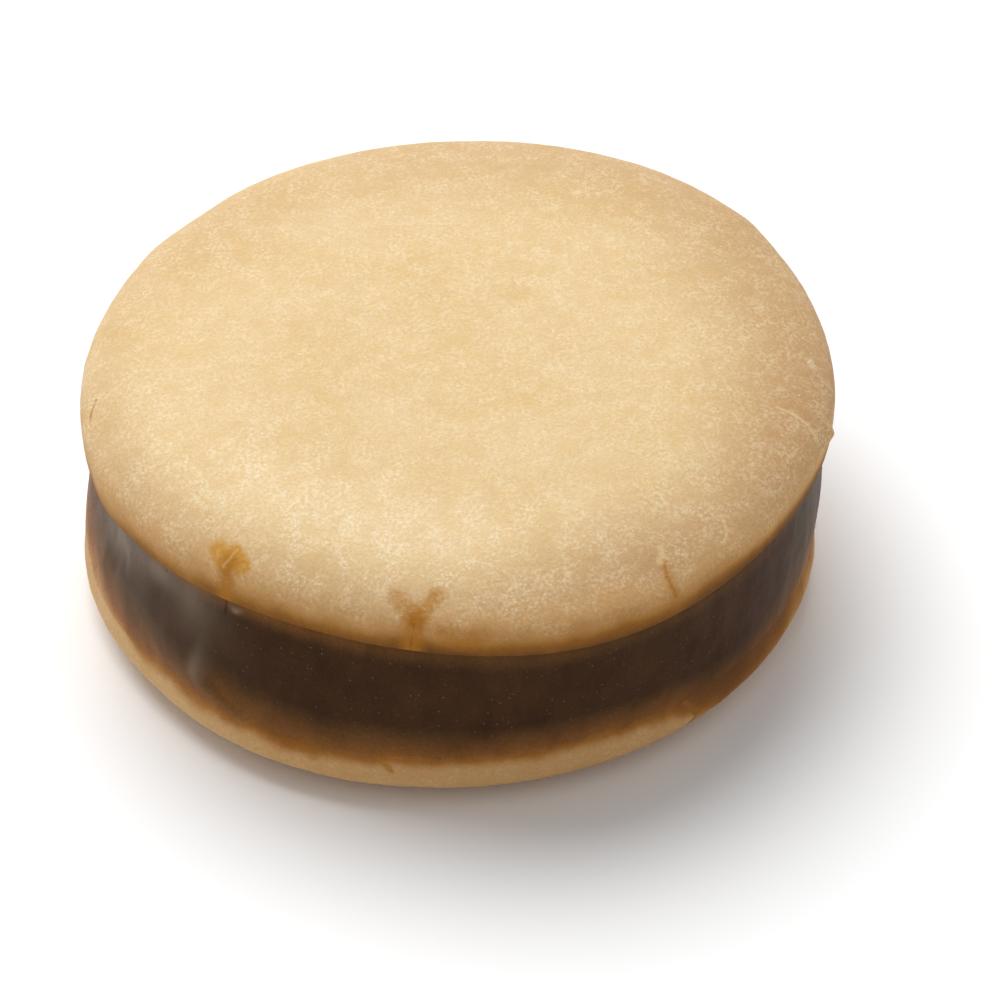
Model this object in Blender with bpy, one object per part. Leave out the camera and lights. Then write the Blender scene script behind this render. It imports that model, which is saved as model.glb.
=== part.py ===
"""A dulce de leche alfajor: two soft biscuits pressed onto a thick filling.

Each piece is a turned profile. Its radius then varies round the axis, so that the outline is as
uneven as a biscuit's that was pressed and glazed by hand. Metres, +Z up. The origin is on the
ground below the middle of the whole, the whole rests on the bottom biscuit's flat foot, and -Y is
the front.
"""
import math
from dataclasses import dataclass

import bmesh
import bpy
from mathutils import Vector

MM = 0.001

# Driving dimensions
TOP_RADIUS = 31.0 * MM
BOTTOM_RADIUS = 30.4 * MM
BOTTOM_OFFSET = Vector((-1.1 * MM, 0.0, 0.0))
BOTTOM_HEIGHT = 5.5 * MM
FILLING_HEIGHT = 12.1 * MM
GAP = 0.3 * MM

# Bottom biscuit: a flat foot, a rounded underside and a short edge above its widest level
FOOT_SHARE = 0.72
BOTTOM_WIDEST = 3.5 * MM
UNDERSIDE_POWER = 2.2
BOTTOM_TUCK = 0.4 * MM

# Top biscuit: a short edge under its widest level, then a flat dome with a low crown
TOP_EDGE = 2.2 * MM
TOP_TUCK = 0.2 * MM
DOME_HEIGHT = 4.0 * MM
DOME_POWER = 4.4
CROWN_HEIGHT = 1.0 * MM

# Filling: flush with the bottom biscuit's edge, it bulges a little and ends under the top one's rim
FOOT_TUCK = 0.2 * MM
BULGE = 0.35 * MM
FILLING_ROUNDING = 0.4 * MM
RIM_SETBACK = {"front": 0.1 * MM, "back": 0.5 * MM, "left": 1.3 * MM, "right": 0.8 * MM}
SIDE_POWER = 3

# Waves of each outline: lobes round the biscuit, height of a crest, angle of a crest in degrees
TOP_WAVES = ((2, 0.25 * MM, 85), (3, 0.44 * MM, -58), (4, 0.25 * MM, 26), (5, 0.25 * MM, -9),
             (6, 0.10 * MM, -18))
BOTTOM_WAVES = ((2, 0.10 * MM, 41), (3, 0.10 * MM, -15), (5, 0.12 * MM, -24), (6, 0.13 * MM, 1))
CROWN_WAVES = ((1, 0.10 * MM, 200), (2, 0.12 * MM, 60), (3, 0.08 * MM, 10))

# Fineness of the meshes
SEGMENTS = 72
DOME_RINGS = 12
UNDERSIDE_RINGS = 8
EDGE_RINGS = 4
FILLING_RINGS = 12
MERGE_DISTANCE = 0.001 * MM
SHARP_ANGLE = math.radians(50)


@dataclass(frozen=True)
class Swelling:
    """A soft local bump of the filling's side, or a dent where its height is below zero.

    Angles are in degrees round the axis from +X. A level is a share of the filling's height, and
    slant is how many degrees the bump's middle turns from the filling's foot to its top.
    """

    angle: float
    level: float
    half_angle: float
    half_height: float
    height: float
    slant: float = 0.0

    def at(self, angle, level):
        """How far the side stands out at an angle, in radians, and a level."""
        middle = self.angle + self.slant * (level - self.level)
        turn = (math.degrees(angle) - middle + 180) % 360 - 180
        across = turn / self.half_angle
        along = (level - self.level) / self.half_height
        return self.height * math.exp(-across * across - along * along)


# The fold left of the front where the filling was pressed out, and the hollow beside it
FOLD = Swelling(angle=229, level=0.45, half_angle=4, half_height=0.50, height=0.50 * MM, slant=5)
HOLLOW = Swelling(angle=238, level=0.42, half_angle=8, half_height=0.35, height=-0.60 * MM)
SWELLINGS = (FOLD, HOLLOW)


@dataclass(frozen=True)
class Finish:
    """The plain look of one piece in this model."""

    name: str
    colour: tuple
    roughness: float

    def material(self):
        """A Principled material with this finish."""
        material = bpy.data.materials.new(self.name)
        material.use_nodes = True
        shader = material.node_tree.nodes["Principled BSDF"]
        shader.inputs["Base Color"].default_value = (*self.colour, 1.0)
        shader.inputs["Roughness"].default_value = self.roughness
        shader.inputs["Metallic"].default_value = 0.0
        material.diffuse_color = (*self.colour, 1.0)
        return material


TOP_FINISH = Finish("glazed_pale_biscuit", (0.78, 0.58, 0.33), 0.55)
FILLING_FINISH = Finish("set_dulce_de_leche", (0.055, 0.030, 0.018), 0.35)
BOTTOM_FINISH = Finish("glazed_tan_biscuit", (0.55, 0.34, 0.17), 0.55)


def wave(angle, waves):
    """Height at an angle of a sum of cosine waves round the axis."""
    return sum(height * math.cos(lobes * (angle - math.radians(crest))) for lobes, height, crest in waves)


def steps(count):
    """Quarter-turn angles from 0 to 90 degrees in count equal steps, the first left out."""
    return [math.pi / 2 * step / count for step in range(1, count + 1)]


def top_profile():
    """Section of the top biscuit, from the middle of its flat underside to the top of its crown."""
    underside = BOTTOM_HEIGHT + FILLING_HEIGHT
    widest = underside + TOP_EDGE
    profile = [(0.0, underside), (TOP_RADIUS - TOP_TUCK, underside)]
    for turn in steps(EDGE_RINGS):
        profile.append((TOP_RADIUS - TOP_TUCK * (1 - math.sin(turn)), widest - TOP_EDGE * math.cos(turn)))
    for turn in reversed(steps(DOME_RINGS)[:-1]):
        reach = math.sin(turn)
        dome = DOME_HEIGHT * math.sqrt(1 - reach ** DOME_POWER)
        crown = CROWN_HEIGHT * (1 - reach * reach)
        profile.append((TOP_RADIUS * reach, widest + dome + crown))
    profile.append((0.0, widest + DOME_HEIGHT + CROWN_HEIGHT))
    return profile


def bottom_profile():
    """Section of the bottom biscuit, from the middle of its foot to the middle of its flat top."""
    profile = [(0.0, 0.0), (BOTTOM_RADIUS * FOOT_SHARE, 0.0)]
    for turn in steps(UNDERSIDE_RINGS):
        out = math.sin(turn)
        reach = FOOT_SHARE + (1 - FOOT_SHARE) * out
        height = BOTTOM_WIDEST * (1 - math.sqrt(max(0.0, 1 - out ** UNDERSIDE_POWER)))
        profile.append((BOTTOM_RADIUS * reach, height))
    for turn in steps(EDGE_RINGS):
        rise = (BOTTOM_HEIGHT - BOTTOM_WIDEST) * math.sin(turn)
        profile.append((BOTTOM_RADIUS - BOTTOM_TUCK * (1 - math.cos(turn)), BOTTOM_WIDEST + rise))
    profile.append((0.0, BOTTOM_HEIGHT))
    return profile


def filling_profile():
    """Section of the filling as a plain disc, whose side the reshaping then gives its form."""
    low = BOTTOM_HEIGHT + GAP
    high = BOTTOM_HEIGHT + FILLING_HEIGHT - GAP
    side = [low + (high - low) * ring / FILLING_RINGS for ring in range(FILLING_RINGS + 1)]
    return [(0.0, low)] + [(TOP_RADIUS, height) for height in side] + [(0.0, high)]


def top_place(angle, radius, height):
    """Place of a point of the top biscuit, from its place on the plain turned shape."""
    reach = radius / TOP_RADIUS
    radius += reach * wave(angle, TOP_WAVES)
    if height > BOTTOM_HEIGHT + FILLING_HEIGHT + TOP_EDGE:
        height += wave(angle, CROWN_WAVES) * reach * reach * (1 - reach ** 4)
    return Vector((radius * math.cos(angle), radius * math.sin(angle), height))


def bottom_place(angle, radius, height):
    """Place of a point of the bottom biscuit, which lies a little to one side of the top one."""
    radius += radius / BOTTOM_RADIUS * wave(angle, BOTTOM_WAVES)
    return BOTTOM_OFFSET + Vector((radius * math.cos(angle), radius * math.sin(angle), height))


def rim_setback(angle):
    """How far the filling's top edge lies inside the top biscuit's rim."""
    along = RIM_SETBACK["back" if math.sin(angle) > 0 else "front"]
    across = RIM_SETBACK["right" if math.cos(angle) > 0 else "left"]
    return along + (across - along) * abs(math.cos(angle)) ** SIDE_POWER


def filling_side(angle, level):
    """Radius of the filling's side at an angle; level runs from 0 at its foot to 1 at its top."""
    foot = BOTTOM_RADIUS - FOOT_TUCK + wave(angle, BOTTOM_WAVES)
    top = TOP_RADIUS - TOP_TUCK + wave(angle, TOP_WAVES) - rim_setback(angle)
    bulge = BULGE * math.sin(math.pi * level)
    corner = FILLING_ROUNDING * (2 * level - 1) ** 12
    return foot + (top - foot) * level + bulge - corner + sum(one.at(angle, level) for one in SWELLINGS)


def filling_place(angle, radius, height):
    """Place of a point of the filling, which leans from the bottom biscuit to the top one."""
    level = (height - BOTTOM_HEIGHT) / FILLING_HEIGHT
    radius = radius / TOP_RADIUS * filling_side(angle, level)
    lean = BOTTOM_OFFSET * (1 - level)
    return lean + Vector((radius * math.cos(angle), radius * math.sin(angle), height))


def turned_piece(name, profile, place, finish, parent):
    """A closed piece: the profile spun round +Z, each point then moved to its uneven place."""
    mesh = bpy.data.meshes.new(name)
    shape = bmesh.new()
    verts = [shape.verts.new((radius, 0.0, height)) for radius, height in profile]
    edges = [shape.edges.new(pair) for pair in zip(verts, verts[1:])]
    bmesh.ops.spin(shape, geom=verts + edges, cent=(0, 0, 0), axis=(0, 0, 1), dvec=(0, 0, 0),
                   angle=math.tau, steps=SEGMENTS, use_merge=True)
    bmesh.ops.remove_doubles(shape, verts=shape.verts, dist=MERGE_DISTANCE)
    bmesh.ops.recalc_face_normals(shape, faces=shape.faces)
    for vert in shape.verts:
        x, y, height = vert.co
        vert.co = place(math.atan2(y, x), math.hypot(x, y), height)
    shape.to_mesh(mesh)
    shape.free()
    mesh.shade_smooth()
    mesh.set_sharp_from_angle(angle=SHARP_ANGLE)
    mesh.materials.append(finish.material())
    piece = bpy.data.objects.new(name, mesh)
    piece.parent = parent
    bpy.context.collection.objects.link(piece)
    return piece


def stand_over_origin(stack, pieces):
    """Move the whole so that the middle of its box is over the origin."""
    points = [vert.co for piece in pieces for vert in piece.data.vertices]
    middle = [(min(point[axis] for point in points) + max(point[axis] for point in points)) / 2
              for axis in (0, 1)]
    stack.location = (-middle[0], -middle[1], 0.0)


def main():
    """Build the alfajor in an empty scene."""
    for old in list(bpy.data.objects):
        bpy.data.objects.remove(old, do_unlink=True)
    stack = bpy.data.objects.new("alfajor", None)
    bpy.context.collection.objects.link(stack)
    pieces = [
        turned_piece("bottom_biscuit", bottom_profile(), bottom_place, BOTTOM_FINISH, stack),
        turned_piece("dulce_de_leche", filling_profile(), filling_place, FILLING_FINISH, stack),
        turned_piece("top_biscuit", top_profile(), top_place, TOP_FINISH, stack),
    ]
    stand_over_origin(stack, pieces)
    bpy.context.view_layer.update()


main()
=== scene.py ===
"""The look of a dulce de leche alfajor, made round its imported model.

Two soft, pale biscuits lie on both sides of a thick, dark filling, and a very thin sugar glaze covers
the whole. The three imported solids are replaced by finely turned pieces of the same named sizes, on
which Geometry Nodes raise the uneven surface and scatter the sugar flecks and milk specks. Lengths
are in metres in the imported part's frame: +Z is up, -Y is the front, and the part stands on z = 0.
"""

import logging
import math
from dataclasses import dataclass, field
from enum import Enum
from typing import Any, Iterable, Sequence

import bmesh
import bpy
import numpy as np
from mathutils import Euler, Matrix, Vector


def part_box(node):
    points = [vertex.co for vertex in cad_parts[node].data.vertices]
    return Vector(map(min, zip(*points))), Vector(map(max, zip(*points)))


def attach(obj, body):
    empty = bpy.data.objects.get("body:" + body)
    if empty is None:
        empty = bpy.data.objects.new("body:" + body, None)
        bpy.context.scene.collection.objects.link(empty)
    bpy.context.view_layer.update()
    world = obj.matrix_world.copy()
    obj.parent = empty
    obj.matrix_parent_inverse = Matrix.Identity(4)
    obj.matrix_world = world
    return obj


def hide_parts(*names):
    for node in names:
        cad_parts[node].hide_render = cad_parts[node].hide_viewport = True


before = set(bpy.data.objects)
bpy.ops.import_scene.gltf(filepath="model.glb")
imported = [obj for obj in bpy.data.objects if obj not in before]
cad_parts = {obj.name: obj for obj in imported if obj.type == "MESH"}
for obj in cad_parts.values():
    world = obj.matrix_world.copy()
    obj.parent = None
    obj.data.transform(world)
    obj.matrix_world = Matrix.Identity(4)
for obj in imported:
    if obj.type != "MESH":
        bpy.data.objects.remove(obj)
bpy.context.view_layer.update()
LOG = logging.getLogger("alfajor")
MM = 0.001
BODY = "root"
PACKED_STEP = 5.0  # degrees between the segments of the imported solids
SHARP_ANGLE = math.radians(50)
NOISE_LOW, NOISE_HIGH = 0.25, 0.75  # nearly all values of a noise texture lie between these
NARROWEST = 0.6  # width of the narrowest grain, as a share of its length
FILLET_STEPS, EDGE_STEPS, DOME_STEPS, BELLY_STEPS = 8, 12, 120, 60  # of the lines that sections follow
FLAT_SPACING = 1.5 * MM


class Tone(Enum):
    """Colours of the food and its surroundings, as sRGB hex values."""

    CRUST = "#E0C496"
    CRUST_DEEP = "#DBBC88"
    # Browner rim: partly real browning, partly painted shade on the top biscuit
    CRUST_EDGE = "#BC9569"
    CRUST_LIGHT = "#EBD0A4"
    UNDER_CRUST = "#C2965E"
    UNDER_EDGE = "#C2955F"
    BLOOM = "#F2E0BF"
    CRUST_WARM = "#CCA26E"
    RIM_TAN = "#C99C64"
    RIM_AMBER = "#BA8A52"
    RIM_ORANGE = "#A6763A"
    RIM_BROWN = "#8F5E26"
    RIM_DEEP = "#7E5222"
    RIM_DARK = "#6A441E"
    SIDE_CLEAR = "#CAA170"
    SIDE_TAN = "#BE8E56"
    SIDE_AMBER = "#AA743A"
    SIDE_ORANGE = "#95632D"
    SIDE_BROWN = "#7E522A"
    SIDE_DEEP = "#6B4625"
    SIDE_DARK = "#51371F"
    CARAMEL = "#402A1A"
    CARAMEL_DARK = "#2A1B10"
    # Grey laid on as painted sheen where the filling's flanks and the fold's crest catch the light
    SHEEN_GREY = "#A89886"
    STAIN_AMBER = "#C68E34"
    STAIN_BROWN = "#AC7026"
    STAIN_ORANGE = "#B0761A"
    CRACK = "#985E1A"
    SCRATCH = "#EACF9F"
    FLECK = "#FFF6E4"
    SPECK = "#5A4A3D"
    SPECK_WARM = "#624C38"
    PAPER = "#FFFFFF"

    def linear(self) -> tuple[float, float, float, float]:
        """The colour as linear RGBA."""
        return linear_colour(self.value)


def linear_colour(code: str) -> tuple[float, float, float, float]:
    """Turn an sRGB hex value into the linear colour that a shader takes.

    Args:
        code: Colour such as "#E9C78E".

    Returns:
        Red, green, blue and alpha, linear.
    """
    shares = [int(code[place:place + 2], 16) / 255 for place in (1, 3, 5)]
    linear = [share / 12.92 if share <= 0.04045 else ((share + 0.055) / 1.055) ** 2.4 for share in shares]
    return (*linear, 1.0)


def add_node(tree: bpy.types.NodeTree, kind: str, inputs: dict | None = None,
             **settings: Any) -> bpy.types.Node:
    """Add one node with its settings, values and links.

    Args:
        tree: Node tree that gets the node.
        kind: Blender's name of the node's type.
        inputs: Values and linked output sockets, by input name or place.
        settings: Properties of the node, set before its inputs.

    Returns:
        The new node.
    """
    node = tree.nodes.new(kind)
    for name, value in settings.items():
        setattr(node, name, value)
    for key, value in (inputs or {}).items():
        if isinstance(value, bpy.types.NodeSocket):
            tree.links.new(value, node.inputs[key])
        else:
            node.inputs[key].default_value = value
    return node


def degrees_past(angle: np.ndarray, middle: float | np.ndarray) -> np.ndarray:
    """Degrees from a middle in degrees to angles in radians, between -180 and 180."""
    return (np.degrees(angle) - middle + 180) % 360 - 180


@dataclass(frozen=True)
class Wave:
    """One cosine wave round the axis of a piece.

    Attributes:
        lobes: How many crests it has in a full turn.
        height: Height of a crest, in metres.
        crest: Angle of one crest, in degrees from +X.
    """

    lobes: int
    height: float
    crest: float

    def at(self, angle: np.ndarray) -> np.ndarray:
        """Height of the wave at angles in radians."""
        return self.height * np.cos(self.lobes * (angle - math.radians(self.crest)))


@dataclass(frozen=True)
class Swelling:
    """A soft local bump of a side, or a dent where its height is below zero.

    Attributes:
        angle: Angle of its middle, in degrees from +X.
        level: Place of its middle up the side, from 0 to 1.
        half_angle: Half its width, in degrees.
        half_height: Half its height, in levels.
        height: How far it stands out, in metres.
        slant: Degrees that its middle turns from level 0 to level 1.
    """

    angle: float
    level: float
    half_angle: float
    half_height: float
    height: float
    slant: float = 0.0

    def at(self, angle: np.ndarray, level: np.ndarray) -> np.ndarray:
        """How far the side stands out.

        Args:
            angle: Angles in radians.
            level: Levels up the side.

        Returns:
            Distances in metres.
        """
        middle = self.angle + self.slant * (level - self.level)
        turn = degrees_past(angle, middle)
        rise = level - self.level
        return self.height * np.exp(-(turn / self.half_angle) ** 2 - (rise / self.half_height) ** 2)


@dataclass(frozen=True)
class AngleTable:
    """A length in millimetres, or a share, that changes round the axis.

    Attributes:
        stops: Angle in degrees from +X, and the value there; it changes evenly between them.
    """

    stops: tuple[tuple[float, float], ...]

    def share(self, angle: np.ndarray) -> np.ndarray:
        """The plain value at angles in radians."""
        places, values = zip(*self.stops)
        return np.interp(np.degrees(angle), places, values, period=360)

    def at(self, angle: np.ndarray) -> np.ndarray:
        """The value as a length in metres at angles in radians."""
        return MM * self.share(angle)


@dataclass(frozen=True)
class SugarSpot:
    """A few sugar grains that lie close together on the top biscuit.

    Attributes:
        angle: Angle of its middle, in degrees from +X.
        way: Way of its middle along the section from the lower rim, in metres.
        reach: Half its width, in metres.
        share: How many times thicker its grains lie than elsewhere.
    """

    angle: float
    way: float
    reach: float
    share: float

    def at(self, angle: np.ndarray, way: np.ndarray, radius: float) -> np.ndarray:
        """Share of grains at angles in radians and ways in metres, on a given radius."""
        across = radius * np.radians(degrees_past(angle, self.angle))
        return self.share * np.exp(-(across ** 2 + (way - self.way) ** 2) / self.reach ** 2)


@dataclass(frozen=True)
class Fold:
    """A lip of filling that was pressed out, with a steep drop into a hollow on its right.

    Attributes:
        angle: Angle of its crest half way up, in degrees from +X.
        slant: Degrees that the crest turns from the foot of the side to its top.
        foot_turn: Further degrees that it turns at the very foot.
        foot_reach: How far up the side that further turn reaches, in levels.
        level: Middle of its height, as a share of the side's.
        half_height: Half its height, in levels.
        lip: How far the crest stands out, in metres.
        hollow: Depth of the hollow, in metres.
        widths: Degrees across the lip, the drop and the hollow.
        painted_sheen: Painted sheen on the crest, where it catches light: half its width in degrees,
        its level and half its height in levels.
    """

    angle: float = 229.0
    slant: float = 4.5
    foot_turn: float = 10.0
    foot_reach: float = 0.11
    level: float = 0.38
    half_height: float = 0.32
    lip: float = 0.50 * MM
    hollow: float = 0.55 * MM
    widths: tuple[float, float, float] = (9.0, 2.0, 10.0)
    painted_sheen: tuple[float, float, float] = (1.3, 0.30, 0.22)

    def turn(self, angle: np.ndarray, level: np.ndarray) -> np.ndarray:
        """Turn from the crest.

        Args:
            angle: Angles in radians.
            level: Levels up the side.

        Returns:
            Degrees from the crest, above zero on its right.
        """
        crest = self.angle + self.slant * (level - self.level)
        crest = crest + self.foot_turn * np.exp(-(level / self.foot_reach) ** 2)
        return degrees_past(angle, crest)

    def crest_share(self, angle: np.ndarray, level: np.ndarray) -> np.ndarray:
        """Share from 0 to 1 that marks the crest, fading out towards its ends."""
        half_width, middle, half_height = self.painted_sheen
        return np.exp(-(self.turn(angle, level) / half_width) ** 2 - ((level - middle) / half_height) ** 2)

    def at(self, angle: np.ndarray, level: np.ndarray) -> np.ndarray:
        """How far the side stands out.

        Args:
            angle: Angles in radians.
            level: Levels up the side.

        Returns:
            Distances in metres.
        """
        turn = self.turn(angle, level)
        lip, drop, hollow = self.widths
        fallen = smooth_share(turn / drop)
        past = np.maximum(turn - drop, 0.0)
        out = self.lip * np.exp(-(np.minimum(turn, 0.0) / lip) ** 2) * (1 - fallen)
        sunk = self.hollow * fallen * np.exp(-(past / hollow) ** 2)
        return (out - sunk) * np.exp(-((level - self.level) / self.half_height) ** 2)


def waves_at(angle: np.ndarray, waves: Iterable[Wave]) -> np.ndarray:
    """Sum of waves at angles in radians."""
    return sum((wave.at(angle) for wave in waves), np.zeros_like(angle))


def smooth_share(value: np.ndarray) -> np.ndarray:
    """Ease a share from 0 to 1 with level ends."""
    share = np.clip(value, 0.0, 1.0)
    return share * share * (3 - 2 * share)


def way_along(section: np.ndarray) -> np.ndarray:
    """Way along a section's points from its first one, in the points' own unit."""
    return np.concatenate([[0.0], np.cumsum(np.hypot(*np.diff(section, axis=0).T))])


def evenly_spaced(points: Sequence[tuple[float, float]], spacing: float) -> np.ndarray:
    """Read a line of points again at an even spacing, keeping its ends.

    Args:
        points: Radius and height of each point of a section.
        spacing: Distance wanted between the new points.

    Returns:
        The new points, one row each: radius and height.
    """
    line = np.array(points, float)
    run = way_along(line)
    places = np.linspace(0.0, run[-1], max(2, round(run[-1] / spacing)) + 1)
    return np.stack([np.interp(places, run, line[:, axis]) for axis in (0, 1)], axis=1)


def ring_places(x: Any, y: Any, radius: np.ndarray, turn: np.ndarray, height: np.ndarray) -> np.ndarray:
    """Points at radii and angles round an axis at x and y, with their heights."""
    return np.stack([x + radius * np.cos(turn), y + radius * np.sin(turn), height], axis=2)


def arc_angles(count: int) -> np.ndarray:
    """Quarter turn from 0 to 90 degrees in count steps, in radians."""
    return np.linspace(0.0, math.pi / 2, count + 1)


def closed_loft(name: str, rings: np.ndarray, attributes: dict[str, np.ndarray]) -> bpy.types.Mesh:
    """Skin rings of points into a closed mesh whose first and last rings shrink to a point.

    Args:
        name: Name of the mesh.
        rings: Points by ring, by place round the ring and by axis; outer faces follow the ring
            order upwards and each ring runs anticlockwise seen from above.
        attributes: Values by name, one for each ring point.

    Returns:
        The mesh, with float attributes on its points.
    """
    count, around, _ = rings.shape
    inner = rings[1:-1].reshape(-1, 3)
    points = np.concatenate([inner, rings[:1, :1].reshape(1, 3), rings[-1:, :1].reshape(1, 3)])
    start, end = len(inner), len(inner) + 1
    here = np.arange(around)
    after = (here + 1) % around
    faces = []
    for ring in range(count - 3):
        low, high = ring * around, (ring + 1) * around
        faces += np.stack([low + here, low + after, high + after, high + here], axis=1).tolist()
    last = (count - 3) * around
    faces += np.stack([after, here, np.full(around, start)], axis=1).tolist()
    faces += np.stack([last + here, last + after, np.full(around, end)], axis=1).tolist()
    mesh = bpy.data.meshes.new(name)
    mesh.from_pydata(points.tolist(), [], faces)
    for key, values in attributes.items():
        flat = np.concatenate([values[1:-1].ravel(), [values[0, 0], values[-1, 0]]])
        mesh.attributes.new(key, "FLOAT", "POINT").data.foreach_set("value", flat.astype(np.float32))
    mesh.shade_smooth()
    mesh.set_sharp_from_angle(angle=SHARP_ANGLE)
    return mesh


def add_object(name: str, mesh: bpy.types.Mesh) -> bpy.types.Object:
    """Put a mesh into the scene at the origin.

    Args:
        name: Name of its object.
        mesh: The mesh.

    Returns:
        The new object.
    """
    piece = bpy.data.objects.new(name, mesh)
    bpy.context.scene.collection.objects.link(piece)
    return piece


@dataclass
class NodeShaper:
    """A Geometry Nodes tree that is run once on a piece and then turned into plain mesh.

    Attributes:
        name: Name of the tree.
        sockets: Name and socket type of each input after the geometry.
    """

    name: str
    sockets: tuple[tuple[str, str], ...]
    tree: bpy.types.NodeTree = field(init=False)

    def __post_init__(self) -> None:
        """Make the tree with its named inputs and its chain of nodes."""
        self.tree = bpy.data.node_groups.new(self.name, "GeometryNodeTree")
        face = self.tree.interface
        face.new_socket("Geometry", in_out="INPUT", socket_type="NodeSocketGeometry")
        face.new_socket("Geometry", in_out="OUTPUT", socket_type="NodeSocketGeometry")
        for name, kind in self.sockets:
            face.new_socket(name, in_out="INPUT", socket_type=kind)
        given = add_node(self.tree, "NodeGroupInput").outputs
        shaped = self.chain(given)
        real = add_node(self.tree, "GeometryNodeRealizeInstances", {"Geometry": shaped})
        dressed = add_node(self.tree, "GeometryNodeSetMaterial",
                           {"Geometry": real.outputs[0], "Material": given["Material"]})
        add_node(self.tree, "NodeGroupOutput", {"Geometry": dressed.outputs[0]})

    def chain(self, given: bpy.types.bpy_prop_collection) -> bpy.types.NodeSocket:
        """Nodes between the tree's inputs and its Realize Instances node.

        Args:
            given: Output sockets of the tree's input node, by name.

        Returns:
            Socket with the shaped geometry.
        """
        raise NotImplementedError

    def run(self, piece: bpy.types.Object, values: dict[str, Any]) -> None:
        """Shape a piece with the tree and keep the result as its plain mesh.

        Args:
            piece: Object in the scene whose mesh goes in, and which gets the new one.
            values: Value of each named input.
        """
        modifier = piece.modifiers.new(self.name, "NODES")
        modifier.node_group = self.tree
        for item in self.tree.interface.items_tree:
            if item.item_type == "SOCKET" and item.in_out == "INPUT" and item.name in values:
                modifier[item.identifier] = values[item.name]
        depsgraph = bpy.context.evaluated_depsgraph_get()
        shaped = piece.evaluated_get(depsgraph)
        mesh = bpy.data.meshes.new_from_object(shaped, preserve_all_data_layers=True, depsgraph=depsgraph)
        plain = piece.data
        piece.modifiers.remove(modifier)
        piece.data = mesh
        bpy.data.meshes.remove(plain)
        mesh.name = piece.name


class ReliefShaper(NodeShaper):
    """Raises the soft unevenness of a baked and glazed surface along its normals."""

    def __init__(self) -> None:
        """Name the inputs: heights and sizes in metres."""
        super().__init__("uneven_surface", (
            ("Broad Height", "NodeSocketFloat"), ("Broad Size", "NodeSocketFloat"),
            ("Fine Height", "NodeSocketFloat"), ("Fine Size", "NodeSocketFloat"),
            ("Upright Stretch", "NodeSocketFloat"), ("Seed", "NodeSocketFloat"),
            ("Material", "NodeSocketMaterial")))

    def chain(self, given: bpy.types.bpy_prop_collection) -> bpy.types.NodeSocket:
        """Add a broad and a fine noise, where the relief_share attribute lets them.

        Args:
            given: Output sockets of the tree's input node, by name.

        Returns:
            Socket with the uneven surface.
        """
        tree = self.tree
        place = add_node(tree, "GeometryNodeInputPosition")
        squeeze = add_node(tree, "ShaderNodeMath", {0: 1.0, 1: given["Upright Stretch"]}, operation="DIVIDE")
        axes = add_node(tree, "ShaderNodeCombineXYZ", {0: 1.0, 1: 1.0, 2: squeeze.outputs[0]})
        spot = add_node(tree, "ShaderNodeVectorMath", {0: place.outputs[0], 1: axes.outputs[0]},
                        operation="MULTIPLY")
        share = add_node(tree, "GeometryNodeInputNamedAttribute", {"Name": "relief_share"}, data_type="FLOAT")
        total = None
        for part in ("Broad", "Fine"):
            pitch = add_node(tree, "ShaderNodeMath", {0: 1.0, 1: given[f"{part} Size"]}, operation="DIVIDE")
            noise = add_node(tree, "ShaderNodeTexNoise",
                             {"Vector": spot.outputs[0], "W": given["Seed"], "Scale": pitch.outputs[0],
                              "Detail": 2.0, "Roughness": 0.5},
                             noise_dimensions="4D")
            centred = add_node(tree, "ShaderNodeMapRange",
                               {"Value": noise.outputs[0], 1: NOISE_LOW, 2: NOISE_HIGH, 3: -1.0, 4: 1.0},
                               clamp=False)
            height = add_node(tree, "ShaderNodeMath", {0: centred.outputs[0], 1: given[f"{part} Height"]},
                              operation="MULTIPLY").outputs[0]
            total = height if total is None else add_node(
                tree, "ShaderNodeMath", {0: total, 1: height}).outputs[0]
        lift = add_node(tree, "ShaderNodeMath", {0: total, 1: share.outputs[0]}, operation="MULTIPLY")
        normal = add_node(tree, "GeometryNodeInputNormal")
        offset = add_node(tree, "ShaderNodeVectorMath", {0: normal.outputs[0], "Scale": lift.outputs[0]},
                          operation="SCALE")
        moved = add_node(tree, "GeometryNodeSetPosition",
                         {"Geometry": given["Geometry"], "Offset": offset.outputs[0]})
        return moved.outputs[0]


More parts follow.
